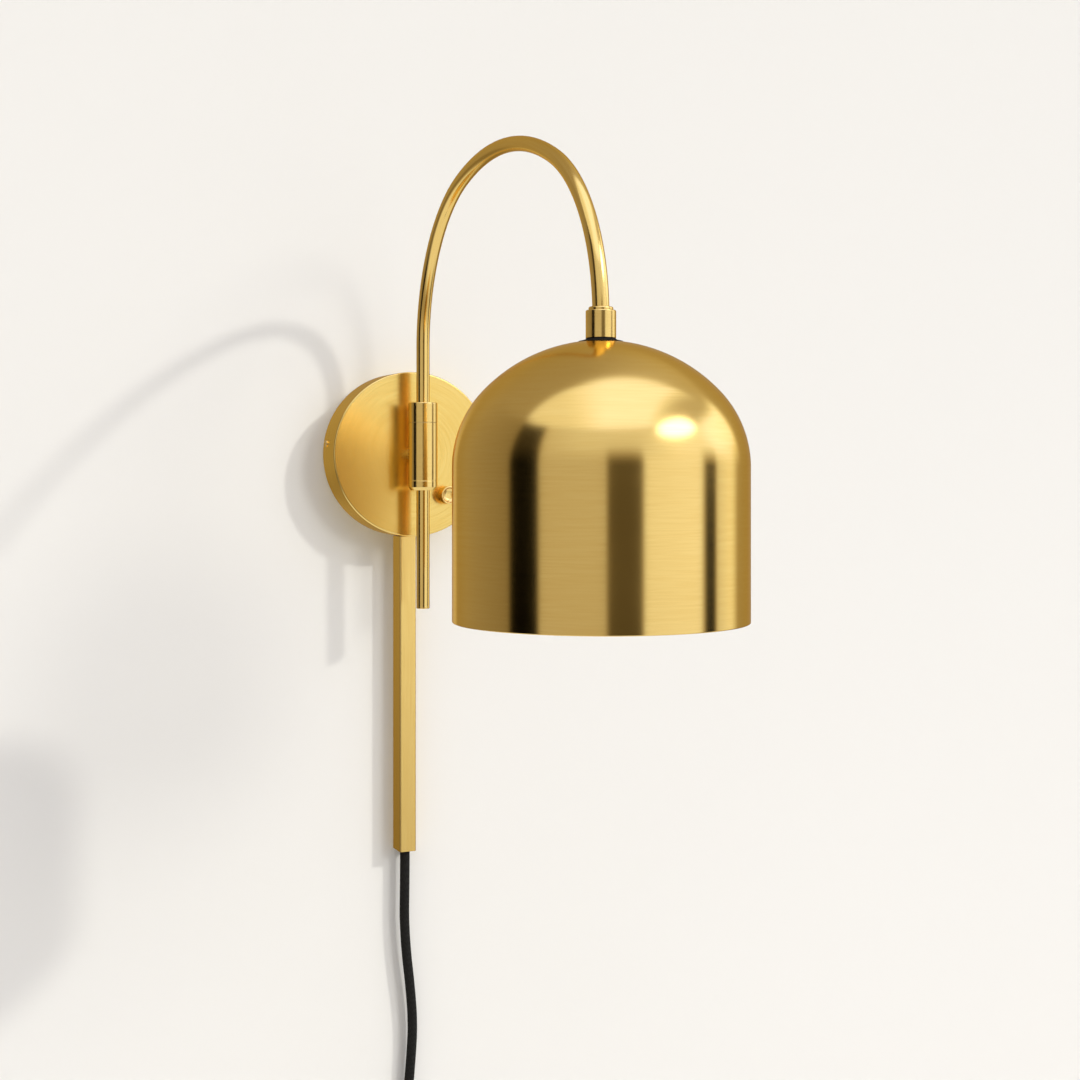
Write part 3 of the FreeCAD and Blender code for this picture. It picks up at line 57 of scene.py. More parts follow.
# ---------------------------------------------------------------------------------------------
# Node trees
# ---------------------------------------------------------------------------------------------
class Tree:
    """A short way to write a node tree: an input is given as a value or as another's output."""

    def __init__(self, tree):
        self.tree = tree
        tree.nodes.clear()

    def add(self, kind, feeds=None, out=0, **settings):
        """A new node with its inputs fed; what comes back is its output number out."""
        made = self.tree.nodes.new("ShaderNode" + kind)
        for name, value in settings.items():
            setattr(made, name, value)
        for key, value in (feeds or {}).items():
            socket = made.inputs[key]
            if isinstance(value, bpy.types.NodeSocket):
                self.tree.links.new(value, socket)
            else:
                socket.default_value = value
        return made.outputs[out] if made.outputs else made

    def math(self, operation, a, b=0.0):
        return self.add("Math", {0: a, 1: b}, operation=operation)

    def smooth(self, value, low, high, first=0.0, last=1.0):
        """Eases from first to last while the value goes from low to high."""
        feeds = {"Value": value, "From Min": low, "From Max": high, "To Min": first, "To Max": last}
        return self.add("MapRange", feeds, interpolation_type="SMOOTHSTEP")

    def blend(self, share, a, b):
        """Colours a and b mixed by share."""
        feeds = {0: share, 6: a, 7: b}
        return self.add("Mix", feeds, 2, data_type="RGBA")

    def mix(self, share, a, b):
        """Numbers a and b mixed by share."""
        return self.add("Mix", {0: share, 2: a, 3: b}, data_type="FLOAT")

    def total(self, a, b):
        return self.math("ADD", a, b)

    def times(self, a, b):
        return self.math("MULTIPLY", a, b)

    def parts(self, vector):
        """The x, y and z of a vector."""
        made = self.tree.nodes.new("ShaderNodeSeparateXYZ")
        self.tree.links.new(vector, made.inputs[0])
        return made.outputs

    def ramp(self, value, stops):
        """A grey ramp, straight between its (place, level) stops."""
        made = self.tree.nodes.new("ShaderNodeValToRGB")
        self.tree.links.new(value, made.inputs[0])
        ramp = made.color_ramp
        ramp.interpolation = "LINEAR"
        while len(ramp.elements) > 1:
            ramp.elements.remove(ramp.elements[-1])
        for index, (place, level) in enumerate(stops):
            stop = ramp.elements[0] if index == 0 else ramp.elements.new(place)
            stop.position = place
            stop.color = (level, level, level, 1)
        return made.outputs[0]


def new_material(name):
    """An empty material, with a Tree to fill it."""
    material = bpy.data.materials.new(name)
    material.use_nodes = True
    return material, Tree(material.node_tree)


def close(tree, **feeds):
    """The surface shader and the output."""
    named = {key.replace("_", " "): value for key, value in feeds.items()}
    surface = tree.add("BsdfPrincipled", named)
    tree.add("OutputMaterial", {"Surface": surface})


def bumped(tree, height, distance, strength=1.0):
    """The normal of a surface with that height."""
    feeds = {"Height": height, "Distance": distance, "Strength": strength}
    return tree.add("Bump", feeds)


WORN_BRASS, GRAZING_BRASS = (0.95, 0.75, 0.36, 1), (0.97, 0.76, 0.4, 1)


def brushed(name, light, dark, roughness, aniso=0.0, turn=0.0, axis=None, *, fine, along, bump,
            spread):
    """Brushed metal whose hairlines run across the direction that the piece's "run" measures.

    fine: hairlines per metre of run; along: their stretch; bump: their depth in metres;
    spread: how far the roughness differs between them.
    """
    material, tree = new_material(name)
    place = tree.add("TexCoord", out=3)
    run = tree.add("Attribute", out=2, attribute_name="run")
    edge = tree.add("Attribute", out=2, attribute_name="edge")

    def lines(density, stretch):
        """Streaks that are long beside the run and narrow along it."""
        vector = tree.add("VectorMath", {0: place, "Scale": stretch}, operation="SCALE")
        feeds = {"Vector": vector, "W": tree.times(run, density), "Scale": 1.0,
                 "Detail": 2.0, "Roughness": 0.6}
        return tree.add("TexNoise", feeds, noise_dimensions="4D")

    hair = lines(fine, along * 2.5)
    band = lines(fine / 1.6, along)
    clouds = tree.add("TexNoise", {"Vector": place, "Scale": 26.0, "Detail": 3.0})
    worn = tree.smooth(edge, 0.2, 1.0)
    both = tree.total(tree.times(hair, 0.8), tree.times(band, 0.2))
    share = tree.smooth(both, 0.32, 0.68)
    aged = tree.smooth(clouds, 0.35, 0.7, 0.0, 0.4)
    colour = tree.blend(tree.smooth(share, 0.0, 1.0, 0.25, 0.75), dark, light)
    colour = tree.blend(tree.times(aged, 0.35), colour, dark)
    colour = tree.blend(tree.times(worn, 0.35), colour, WORN_BRASS)
    rough = tree.mix(share, roughness + spread / 2, roughness - spread / 2)
    rough = tree.total(rough, tree.times(aged, 0.04))
    rough = tree.math("SUBTRACT", rough, tree.times(worn, 0.06))
    feeds = {"Base_Color": colour, "Metallic": 1.0, "Roughness": rough,
             "Specular_Tint": GRAZING_BRASS, "Normal": bumped(tree, both, bump)}
    if aniso:
        feeds.update(Anisotropic=aniso, Anisotropic_Rotation=turn)
    if axis:
        feeds["Tangent"] = tree.add("Tangent", direction_type="RADIAL", axis=axis)
    close(tree, **feeds)
    return material


def cast(name, light, dark, roughness, metallic=0.0, scale=400.0, bump=0.00002, clouds=30.0,
         **extra):
    """Moulded, plated or cast stuff: a fine grain, with slow changes in tone and gloss."""
    material, tree = new_material(name)
    place = tree.add("TexCoord", out=3)
    grain = tree.add("TexNoise", {"Vector": place, "Scale": scale, "Detail": 3.0})
    slow = tree.add("TexNoise", {"Vector": place, "Scale": clouds, "Detail": 4.0})
    share = tree.smooth(slow, 0.3, 0.7)
    colour = tree.blend(share, dark, light)
    rough = tree.mix(grain, roughness - 0.08, roughness + 0.08)
    close(tree, Base_Color=colour, Metallic=metallic, Roughness=rough,
          Normal=bumped(tree, grain, bump), **extra)
    return material


def braided(name, length):
    """A woven sheath: two sets of yarns that wind round the cord and pass over each other, with
    painted shade where they dip.
    """
    around, pitch = 12.0, 520.0              # yarns round the cord, and crossings per metre
    material, tree = new_material(name)
    parts = tree.parts(tree.add("TexCoord", out=2))
    far, ring = tree.times(parts[0], length * pitch), tree.times(parts[1], around)
    one, two = tree.total(ring, far), tree.math("SUBTRACT", ring, far)

    def yarn(way):
        wave = tree.math("SINE", tree.times(way, math.pi))
        return tree.math("POWER", tree.math("ABSOLUTE", wave), 0.6)

    cells = tree.total(tree.math("FLOOR", one), tree.math("FLOOR", two))
    over = tree.math("FLOORED_MODULO", cells, 2.0)
    height = tree.mix(over, yarn(one), yarn(two))
    fuzz = tree.add("TexNoise", {"Vector": tree.add("TexCoord", out=3), "Scale": 1500.0,
                                 "Detail": 2.0})
    # Painted shade: the colour darkens where a yarn dips under the other set and between yarns,
    # with random fuzz mixed in.
    tone = tree.times(height, tree.total(fuzz, 0.5))
    colour = tree.blend(tone, (0.0015, 0.0015, 0.0013, 1), (0.012, 0.0112, 0.0095, 1))
    full = tree.total(height, tree.times(fuzz, 0.35))
    close(tree, Base_Color=colour, Roughness=0.85, Specular_IOR_Level=0.3,
          Normal=bumped(tree, full, 0.00035, 0.9))
    return material


BRASS, DEEP = (0.9, 0.655, 0.235, 1), (0.86, 0.59, 0.185, 1)
shade_brass = brushed("shade_brass", BRASS, DEEP, 0.155, 0.4, 0.25, "Z", fine=1500.0, along=16.0,
                      bump=0.000003, spread=0.02)
plate_brass = brushed("plate_brass", (0.95, 0.72, 0.25, 1), (0.88, 0.58, 0.125, 1), 0.235, 0.5,
                      0.25, "Y", fine=1600.0, along=12.0, bump=0.000004, spread=0.04)
ring_brass = brushed("ring_brass", BRASS, DEEP, 0.19, 0.3, 0.25, "Z", fine=1500.0, along=30.0,
                     bump=0.000004, spread=0.02)
knob_brass = brushed("knob_brass", BRASS, DEEP, 0.19, 0.3, 0.25, "Y", fine=1500.0, along=30.0,
                     bump=0.000004, spread=0.02)
tube_brass = brushed("tube_brass", BRASS, DEEP, 0.15, fine=900.0, along=10.0, bump=0.000004,
                     spread=0.02)
cover_brass = brushed("cover_brass", (0.91, 0.66, 0.225, 1), (0.87, 0.58, 0.165, 1), 0.22, 0.4,
                      0.0, "Z", fine=1600.0, along=12.0, bump=0.000006, spread=0.03)
plain_brass = cast("plain_brass", BRASS, DEEP, 0.26, 1.0)
steel = cast("zinc_steel", (0.62, 0.62, 0.6, 1), (0.46, 0.46, 0.44, 1), 0.36, 1.0, clouds=90.0)
shell = cast("shell_metal", (0.72, 0.7, 0.64, 1), (0.55, 0.52, 0.44, 1), 0.28, 1.0)
blade = cast("blade_brass", (0.78, 0.66, 0.4, 1), (0.68, 0.55, 0.3, 1), 0.3, 1.0)
polymer = cast("black_polymer", (0.022, 0.022, 0.023, 1), (0.014, 0.014, 0.015, 1), 0.5)
dimmer_case = cast("dimmer_case", (0.05, 0.05, 0.052, 1), (0.035, 0.035, 0.037, 1), 0.45)
rubber = cast("gasket_rubber", (0.007, 0.0065, 0.006, 1), (0.004, 0.004, 0.004, 1), 0.75,
              Specular_IOR_Level=0.15)
phenolic = cast("phenolic", (0.03, 0.026, 0.023, 1), (0.02, 0.018, 0.016, 1), 0.3, scale=900.0)
sleeve = cast("wire_sleeve", (0.8, 0.78, 0.73, 1), (0.68, 0.66, 0.6, 1), 0.42)
twist = cast("connector_polymer", (0.75, 0.27, 0.03, 1), (0.62, 0.2, 0.02, 1), 0.4)
strap_cloth = cast("strap_cloth", (0.03, 0.03, 0.032, 1), (0.012, 0.012, 0.013, 1), 0.85,
                   scale=2500.0, bump=0.00025)
frost = cast("bulb_frost", (0.92, 0.91, 0.88, 1), (0.88, 0.87, 0.83, 1), 0.32, scale=1500.0,
             Subsurface_Weight=0.35, Subsurface_Scale=0.004, Coat_Weight=0.15)


# ---------------------------------------------------------------------------------------------
# Shapes
# ---------------------------------------------------------------------------------------------
def arc(centre, radius, start, end, step):
    """Points on an arc about a step apart, with angles in degrees, both ends included."""
    count = max(2, round(abs(end - start) / step))
    angles = [math.radians(start + (end - start) * k / count) for k in range(count + 1)]
    return [(centre[0] + radius * math.cos(a), centre[1] + radius * math.sin(a)) for a in angles]


def eased(corners, count=4, closed=True):
    """An outline with rounded corners, from (across, along[, radius]).

    Each point comes back as (across, along, edge), where edge rises to 1 on a rounded corner.
    """
    points = []
    total = len(corners)
    for index, corner in enumerate(corners):
        here = Vector(corner[:2])
        radius = corner[2] if len(corner) > 2 else 0
        if not radius or (not closed and index in (0, total - 1)):
            points.append((here.x, here.y, 0.0))
            continue
        back = Vector(corners[index - 1][:2]) - here
        ahead = Vector(corners[(index + 1) % total][:2]) - here
        room = 0.49 * min(back.length, ahead.length)
        back.normalize(), ahead.normalize()
        half = math.acos(max(-1.0, min(1.0, back.dot(ahead)))) / 2
        reach = min(radius / math.tan(half), room)
        centre = here + (back + ahead).normalized() * (reach / math.cos(half))
        first, last = here + back * reach - centre, here + ahead * reach - centre
        start = math.atan2(first.y, first.x)
        swing = (math.atan2(last.y, last.x) - start + math.pi) % (2 * math.pi) - math.pi
        for step in range(count + 1):
            angle = start + swing * step / count
            spot = centre + Vector((math.cos(angle), math.sin(angle))) * first.length
            points.append((spot.x, spot.y, 1.0 if 0 < step < count else 0.4))
    return points


def made_object(name, bm, body, material, replaces=()):
    """A smooth-shaded object from a bmesh, tied to its body, slot and node."""
    bmesh.ops.recalc_face_normals(bm, faces=bm.faces)
    mesh = bpy.data.meshes.new(name)
    bm.to_mesh(mesh)
    bm.free()
    mesh.shade_smooth()
    mesh.set_sharp_from_angle(angle=math.radians(40))
    piece = bpy.data.objects.new(name, mesh)
    bpy.context.scene.collection.objects.link(piece)
    weighted = piece.modifiers.new("weighted", "WEIGHTED_NORMAL")
    weighted.keep_sharp = True
    return settled(piece, body, material, replaces)


def settled(piece, body, material, replaces=()):
    """The piece with its material, its body and the nodes it stands for."""
    piece.data.materials.append(material)
    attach(piece, body)
    if replaces:
        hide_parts(*replaces)
    return piece


def loft(rings, marks, runs, closed_way):
    """Faces between rings of points; a ring of one point is a pole.

    marks and runs give each ring's or each point's edge and its run in metres.
    """
    bm = bmesh.new()
    run_layer = bm.verts.layers.float.new("run")
    edge_layer = bm.verts.layers.float.new("edge")
    made = []
    for ring, mark, run in zip(rings, marks, runs):
        verts = []
        for index, point in enumerate(ring):
            vert = bm.verts.new(point)
            vert[run_layer] = run[index] if isinstance(run, list) else run
            vert[edge_layer] = mark[index] if isinstance(mark, list) else mark
            verts.append(vert)
        made.append(verts)
    pairs = list(zip(made, made[1:]))
    if closed_way:
        pairs.append((made[-1], made[0]))
    for low, high in pairs:
        count = max(len(low), len(high))
        if count == 1:
            continue
        for k in range(count):
            n = (k + 1) % count
            if len(low) == 1:
                bm.faces.new((low[0], high[n], high[k]))
            elif len(high) == 1:
                bm.faces.new((low[k], low[n], high[0]))
            else:
                bm.faces.new((low[k], low[n], high[n], high[k]))
    return bm


def turned(name, outline, at, axis, body, material, replaces=(), steps=96, closed=True,
           ripple=None):
    """A lathe piece: outline of (radius, place along the axis, edge) round the axis through at.

    ripple: a function of the angle and the place that gives the radius's share there.
    """
    rings, marks, runs = [], [], []
    run, last = 0.0, outline[0]
    for radius, along, edge in outline:
        run += math.hypot(radius - last[0], along - last[1]) * MM
        last = (radius, along)
        ring = []
        for k in range(steps if radius > 1e-6 else 1):
            angle = 2 * math.pi * k / steps
            size = radius * (ripple(angle, along) if ripple else 1.0)
            a, b = size * math.cos(angle), size * math.sin(angle)
            spot = (at[0] + a, at[1] + b, along) if axis == "Z" else (at[0] + a, along, at[1] + b)
            ring.append(Vector(spot) * MM)
        rings.append(ring)
        marks.append(edge)
        runs.append(run)
    bm = loft(rings, marks, runs, closed)
    return made_object(name, bm, body, material, replaces)


def extruded(name, outline, bottom, top, bevel, body, material, replaces=()):
    """An upright bar from a closed outline of (x, y, edge), with eased ends.

    The outline's second half runs back along its first, so faces between them close the ends.
    """
    lengths = [0.0]
    for here, there in zip(outline, outline[1:] + outline[:1]):
        lengths.append(lengths[-1] + math.hypot(there[0] - here[0], there[1] - here[1]) * MM)
    rings, marks, runs = [], [], []
    total = len(outline)
    inward = []
    for k in range(total):
        back, ahead = Vector(outline[k - 1][:2]), Vector(outline[(k + 1) % total][:2])
        way = (ahead - back).normalized()
        inward.append(Vector((-way.y, way.x)))
    levels = [(bottom, 1.0), (bottom + bevel * 0.3, 0.3), (bottom + bevel, 0.0),
              (top - bevel, 0.0), (top - bevel * 0.3, 0.3), (top, 1.0)]
    for height, share in levels:
        ring = []
        for (x, y, _), way in zip(outline, inward):
            shift = way * (bevel * share * share)
            ring.append(Vector((x + shift.x, y + shift.y, height)) * MM)
        rings.append(ring)
        marks.append([max(edge, share) for _, _, edge in outline])
        runs.append(lengths[:-1])
    bm = loft(rings, marks, runs, False)
    bm.verts.ensure_lookup_table()
    first, last = list(bm.verts)[:total], list(bm.verts)[-total:]
    half = total // 2
    for ends in (first, last):
        for k in range(half - 1):
            bm.faces.new((ends[k], ends[k + 1], ends[total - 2 - k], ends[total - 1 - k]))
    return made_object(name, bm, body, material, replaces)


def piped(name, line, radius, wall, body, material, replaces=(), steps=48):
    """A hollow tube along points that lie in a plane of constant x."""
    count = len(line)
    rings, runs = [], []
    for size in (radius, radius - wall):
        order = range(count) if size == radius else range(count - 1, -1, -1)
        for k in order:
            before, after = line[max(k - 1, 0)], line[min(k + 1, count - 1)]
            way = (after - before).normalized()
            side = Vector((0, -way.z, way.y))
            ring = []
            for s in range(steps):
                angle = 2 * math.pi * s / steps
                out = Vector((size, 0, 0)) * math.cos(angle) + side * size * math.sin(angle)
                ring.append((line[k] + out) * MM)
            rings.append(ring)
            runs.append([2 * math.pi * s / steps * size * MM for s in range(steps)])
    bm = loft(rings, [0.0] * len(rings), runs, True)
    return made_object(name, bm, body, material, replaces)


# ---------------------------------------------------------------------------------------------
# Cord: the hanging run and the put-away coil, one line from the cover to the plug
# ---------------------------------------------------------------------------------------------
CORD, CORD_DEPTH = 7.6, -9.0                 # its diameter, and its place along y in the cover
CORD_TAIL, BOOT, PLUG = 26.0, 24.0, 32.0     # lengths of the straight end, the boot and the plug
COIL_PITCH, COIL_INNER, COIL_BACK = 8.1, 35.0, -6.5
COIL_CENTRE = Vector((-3.0, 0.0, -604.0))
COIL_START, COIL_SWEEP = 130.0, 360.0 * 5 + 50.0             # degrees
COIL_STEP, COIL_SWELL = 15.0, 1.004          # the control points lie a little outside the turns
EXIT = (0.0, CORD_DEPTH, COVER_END)
ROUTE = [
    (0.0, -9.0, -334.0), (-0.6, -8.9, -362.0), (1.2, -8.6, -390.0), (5.0, -8.1, -420.0),
    (7.2, -7.5, -449.0), (5.6, -7.0, -476.0), (3.6, -6.8, -499.0), (-1.6, -6.6, -522.0),
]


def coil_point(travel, grow=1.0):
    """The cord's centre after a given turn in degrees from the coil's entry.

    The turns wind inwards in the back layer, cross over halfway and wind outwards in the front.
    """
    radius = (COIL_INNER + COIL_PITCH * abs(travel - COIL_SWEEP / 2) / 360) * grow
    share = min(max((travel - COIL_SWEEP / 2) / 180 + 0.5, 0.0), 1.0)
    angle = math.radians(COIL_START + travel)
    depth = COIL_BACK - COIL_PITCH * share * share * (3 - 2 * share)
    return COIL_CENTRE + Vector((radius * math.cos(angle), depth, radius * math.sin(angle)))


def cord_line(name, points, diameter, resolution):
    """A smooth round line with the points as its control points."""
    curve = bpy.data.curves.new(name, "CURVE")
    curve.dimensions = "3D"
    curve.bevel_depth = diameter / 2 * MM
    curve.bevel_resolution = 5
    curve.resolution_u = resolution
    spline = curve.splines.new("NURBS")
    spline.points.add(len(points) - 1)
    for point, spot in zip(spline.points, points):
        point.co = (*(Vector(spot) * MM), 1.0)
    spline.order_u = 3
    spline.use_endpoint_u = True
    curve.use_fill_caps = True
    piece = bpy.data.objects.new(name, curve)
    bpy.context.scene.collection.objects.link(piece)
    return piece


entry = coil_point(0.0)
entry_way = (coil_point(0.1) - entry).normalized()
coil_end = coil_point(COIL_SWEEP)
cord_points = [EXIT] + ROUTE + [entry - entry_way * (22 + CORD), entry - entry_way * CORD]
cord_points += [coil_point(COIL_STEP * k, COIL_SWELL)
                for k in range(1, int(COIL_SWEEP / COIL_STEP))]
cord_points += [coil_end + Vector((0, 0, -down)) for down in (0.0, CORD_TAIL / 2, CORD_TAIL)]
cord = cord_line("cord", cord_points, CORD, 6)
settled(cord, WALL, braided("woven_cord", 1.76), ("cord_free", "cord_coil"))

inner_points = [(0, CORD_DEPTH, height) for height in (COVER_END, -180, -51)]
inner_cord = cord_line("cord_inside_cover", inner_points, CORD, 4)
settled(inner_cord, WALL, braided("woven_inside", 0.259), ("cord_in_cover",))


def coil_tie():
    """A strap round all the turns, at one angle of the coil."""
    turn, wall, play = 80.0, 1.15, 0.5
    half, ease = 4.5, 0.3                    # half its width, and how far its edges are eased
    travels = [turn - COIL_START + 360.0 * k for k in range(1, 8)]
    passes = [coil_point(t) - COIL_CENTRE for t in travels if 0 < t < COIL_SWEEP]
    radii = [math.hypot(p.x, p.z) for p in passes]
    depths = [p.y for p in passes]
    reach = CORD / 2 + play
    inner = [min(radii) - reach, min(depths) - reach, max(radii) + reach, max(depths) + reach]
    angle = math.radians(turn)
    out_x, out_y = Vector((math.cos(angle), 0, math.sin(angle))), Vector((0, 1, 0))
    across = Vector((-math.sin(angle), 0, math.cos(angle)))
    section = [(0.0, half - ease), (0.0, ease - half), (0.25, -half), (wall - 0.25, -half),
               (wall, ease - half), (wall, half - ease), (wall - 0.25, half), (0.25, half)]
    rings = []
    for size, width in section:
        low_x, low_y = inner[0] - size, inner[1] - size
        high_x, high_y = inner[2] + size, inner[3] + size
        corners = [(low_x, low_y), (high_x, low_y), (high_x, high_y), (low_x, high_y)]
        rounded = eased([(x, y, 2.5 + size) for x, y in corners], 6)
        rings.append([(COIL_CENTRE + out_x * x + out_y * y + across * width) * MM
                      for x, y, _ in rounded])
    bm = loft(rings, [0.0] * len(rings), [size * MM for size, _ in section], True)
    return made_object("coil_strap", bm, WALL, strap_cloth, ("coil_tie",))


strap = coil_tie()
plug_x, plug_y, plug_top = coil_end.x, coil_end.y, coil_end.z - CORD_TAIL


def plug_boot():
    """The plug's strain relief: seven rings that widen towards the plug."""
    outline = [(CORD / 2 + 0.02, plug_top)]
    for k in range(7):
        top, size = plug_top - 1.2 - 3.2 * k, 3.95 + 1.5 * k / 6
        outline += [(size, top, 0.3), (size + 0.14, top - 2.0, 0.3),
                    (size - 0.55, top - 2.2, 0.2), (size - 0.5, top - 3.0, 0.2)]
    end = plug_top - BOOT
    outline += [(5.6, end + 0.4, 0.2), (5.6, end), (0.0, end)]
    return turned("plug_boot", [(0.0, plug_top, 0.0)] + eased(outline, 3, False),
                  (plug_x, plug_y), "Z", WALL, polymer, ("plug_relief",),
                  steps=48, closed=False)


relief = plug_boot()


def plug_shell():
    """The plug's moulded body: rounded, with finger ridges on its two broad sides."""
    start, steps, squareness = plug_top - BOOT, 64, 0.42
    wide, deep, ridge_reach = 12.0, 7.5, 9.5
    # (distance from the boot, share of the full section) down the plug
    levels = [(0.0, 0.55), (0.25, 0.7), (0.8, 0.84), (1.8, 0.94), (3.2, 0.985), (5.0, 1.0)]
    for k in range(6):
        base = 8.0 + 2.6 * k
        levels += [(base, 1.0), (base + 0.35, 0.955), (base + 1.1, 0.955), (base + 1.45, 1.0)]
    levels += [(27.5, 1.0), (30.0, 0.995), (31.4, 0.97), (PLUG, 0.93)]
    rings = [[Vector((plug_x, plug_y, start)) * MM]]
    for down, share in levels:
        ring = []
        for s in range(steps):
            angle = 2 * math.pi * s / steps
            c, n = math.cos(angle), math.sin(angle)
            x = wide * math.copysign(abs(c) ** squareness, c)
            y = deep * math.copysign(abs(n) ** squareness, n)
            if 7 < down < 26:                # the ridges press in the broad sides alone
                y *= 1 - (1 - share) * max(0.0, 1 - (abs(x) / ridge_reach) ** 4)
            else:
                x, y = x * share, y * share
            ring.append(Vector((plug_x + x, plug_y + y, start - down)) * MM)
        rings.append(ring)
    rings.append([Vector((plug_x, plug_y, start - PLUG)) * MM])
    runs = [0.0] + [down * MM for down, _ in levels] + [PLUG * MM]
    bm = loft(rings, [0.0] * len(rings), runs, False)
    return made_object("plug_shell", bm, WALL, polymer, ("plug_body",))


plug = plug_shell()


# ---------------------------------------------------------------------------------------------
# Canopy and what is fixed to it
# ---------------------------------------------------------------------------------------------
turned("canopy_cup", eased([
    (5.3, CANOPY_FACE + 2), (5.3, CANOPY_FACE, 0.2), (CANOPY_RADIUS, CANOPY_FACE, 1.2),
    (CANOPY_RADIUS, -0.02, 0.35), (CANOPY_RADIUS - CANOPY_WALL, -0.02, 0.3),
    (CANOPY_RADIUS - CANOPY_WALL, CANOPY_FACE + 2, 0.6)], 5),
    (0, 0), "Y", WALL, plate_brass, ("canopy",), steps=192)

turned("barrel_tube", eased([
    (8.0, BARREL_TOP, 0.2), (8.0, BARREL_FOOT, 0.3), (9.2, BARREL_FOOT, 0.25),
    (BARREL_RADIUS, -25.2, 0.5), (BARREL_RADIUS, -20.7, 0.1), (10.85, -20.5), (10.85, -20.3),
    (BARREL_RADIUS, -20.1, 0.1), (BARREL_RADIUS, BARREL_TOP + 0.55, 0.2),
    (10.65, BARREL_TOP + 0.55), (10.65, BARREL_TOP)], 4),
    (0, ARM_AXIS), "Z", WALL, ring_brass, ("barrel",))

turned("swivel_collar", eased([
    (5.05, BARREL_TOP + 0.9, 0.15), (10.65, BARREL_TOP + 0.9), (10.65, BARREL_TOP + 0.75),
    (BARREL_RADIUS, BARREL_TOP + 0.75, 0.2), (BARREL_RADIUS, COLLAR_TOP, 0.9),
    (5.05, COLLAR_TOP, 0.15)], 4),
    (0, ARM_AXIS), "Z", ARM, ring_brass, ("arm_collar",))

turned("tail_cap", eased([
    (0.0, TAIL_END - 1.5), (TUBE_RADIUS, TAIL_END - 1.5, 0.6), (TUBE_RADIUS, TAIL_END - 0.02, 0.1),
    (3.95, TAIL_END - 0.02), (3.95, TAIL_END + 6.8, 0.4), (0.0, TAIL_END + 6.8)], 4, False),
    (0, ARM_AXIS), "Z", ARM, ring_brass, ("arm_tail_plug",), steps=64,
    closed=False)

# The knob's outside from its back to the dish's centre, then the hollow in its back.
turned("dimmer_dial", eased([
    (5.7, -30.4), (6.15, -30.4, 0.15), (6.15, -35.0, 0.3), (7.05, -35.6, 0.4),
    (7.05, -41.2, 0.5), (5.9, -41.2, 0.3), (5.2, -39.9, 0.8), (3.2, -38.8, 2.0),
    (0.0, -38.4)], 5, False)
    + [(0.0, -37.8, 0.0), (2.05, -37.8, 0.0), (2.05, -34.4, 0.0), (5.7, -34.4, 0.0),
       (5.7, -30.4, 0.0)],
    DIMMER, "Y", KNOB, knob_brass, ("dimmer_knob",), steps=72, closed=False)


def cover():
    """The square channel over the cord, brushed along its length."""
    side, front, back, wall = 6.65, -17.0, -0.05, 1.0
    outer = [(-side, back), (-side, front, 1.1), (side, front, 1.1), (side, back)]
    inner = [(side - wall, back), (side - wall, front + wall, 0.4),
             (wall - side, front + wall, 0.4), (wall - side, back)]
    return extruded("cover_channel", eased(outer + inner, 5), COVER_END, COVER_TOP, 0.35, WALL,
                    cover_brass, ("cord_cover",))


cover()


def flutes(angle, along):
    """Sixteen shallow grooves on the connectors' cones."""
    return 1 - 0.035 * (0.5 + 0.5 * math.cos(16 * angle)) if 27 < along < 44 else 1.0


def connectors():
    """Two twist-on wire connectors, which are fluted cones."""
    outline = eased([(0.0, 24.0), (5.2, 24.0, 0.4), (5.9, 24.6, 0.4), (5.6, 27.5, 1.0),
                     (3.5, 44.5, 1.4), (1.8, 46.0, 1.0), (0.0, 46.0)], 4, False)
    side, depth = CONNECTORS
    for name, x, replaced in (("left", -side, ("wire_connectors",)), ("right", side, ())):
        turned("twist_connector_" + name, outline, (x, depth), "Z", WALL,
               twist, replaced, closed=False, ripple=flutes)


connectors()


def wires():
    """The conductors in the canopy, from the cord, the dimmer and the lead to the connectors."""
    side, deep = CONNECTORS
    runs = [
        [(1.5, CORD_DEPTH, -51), (1.5, CORD_DEPTH, -42), (8, -21.5, -31.6), (17, -21.5, -31.6)],
        [(-1.5, CORD_DEPTH, -51), (-1.5, CORD_DEPTH, -42), (-side - 1.5, deep, 0),
         (-side - 1.5, deep, 24)],
        [(26, -21.5, -22.6), (26, -21.5, -13.6), (side + 1.5, deep, 6), (side + 1.5, deep, 24)],
    ]
    for sign in (-1, 1):
        runs.append([(sign * 1.5, -17, 0), (sign * 1.5, -12, 0),
                     (sign * (side - 1.5), deep, 15), (sign * (side - 1.5), deep, 24)])
    for index, run in enumerate(runs):
        piece = cord_line("conductor_%d" % index, run, 2.2, 10)
        settled(piece, WALL, sleeve if index % 2 else polymer,
                ("canopy_wires",) if index == 0 else ())


wires()


# ---------------------------------------------------------------------------------------------
# Arm, holder, shade and bulb
# ---------------------------------------------------------------------------------------------
def arm_line():
    """The arch: up from the tail, three tangent arcs, down to the holder."""
    bend, crown, reach = 117.5, 218.0, ARM_AXIS - SHADE_AXIS
    wall, shade = Vector((-bend, 81.0)), Vector((bend - reach, 75.0))      # the bends' centres
    half = (shade - wall) / 2
    down = Vector((-half.y, half.x)).normalized()
    centre = wall + half + down * math.sqrt((crown - bend) ** 2 - half.length_squared)
    turns = [math.degrees(math.atan2(p.y - centre.y, p.x - centre.x)) for p in (wall, shade)]
    line = [(0.0, TAIL_END), (0.0, -20.0), (0.0, 40.0)]
    line += arc(wall, bend, 0.0, turns[0], 2.5)
    line += arc(centre, crown, turns[0], turns[1], 1.5)[1:]
    line += arc(shade, bend, turns[1], 180.0, 2.5)[1:]
    line += [(-reach, HOLDER_TOP - 10.0)]
    return [Vector((0.0, ARM_AXIS + y, z)) for y, z in line]


piped("arched_tube", arm_line(), TUBE_RADIUS, TUBE_WALL, ARM, tube_brass,
      ("arm_tube",))

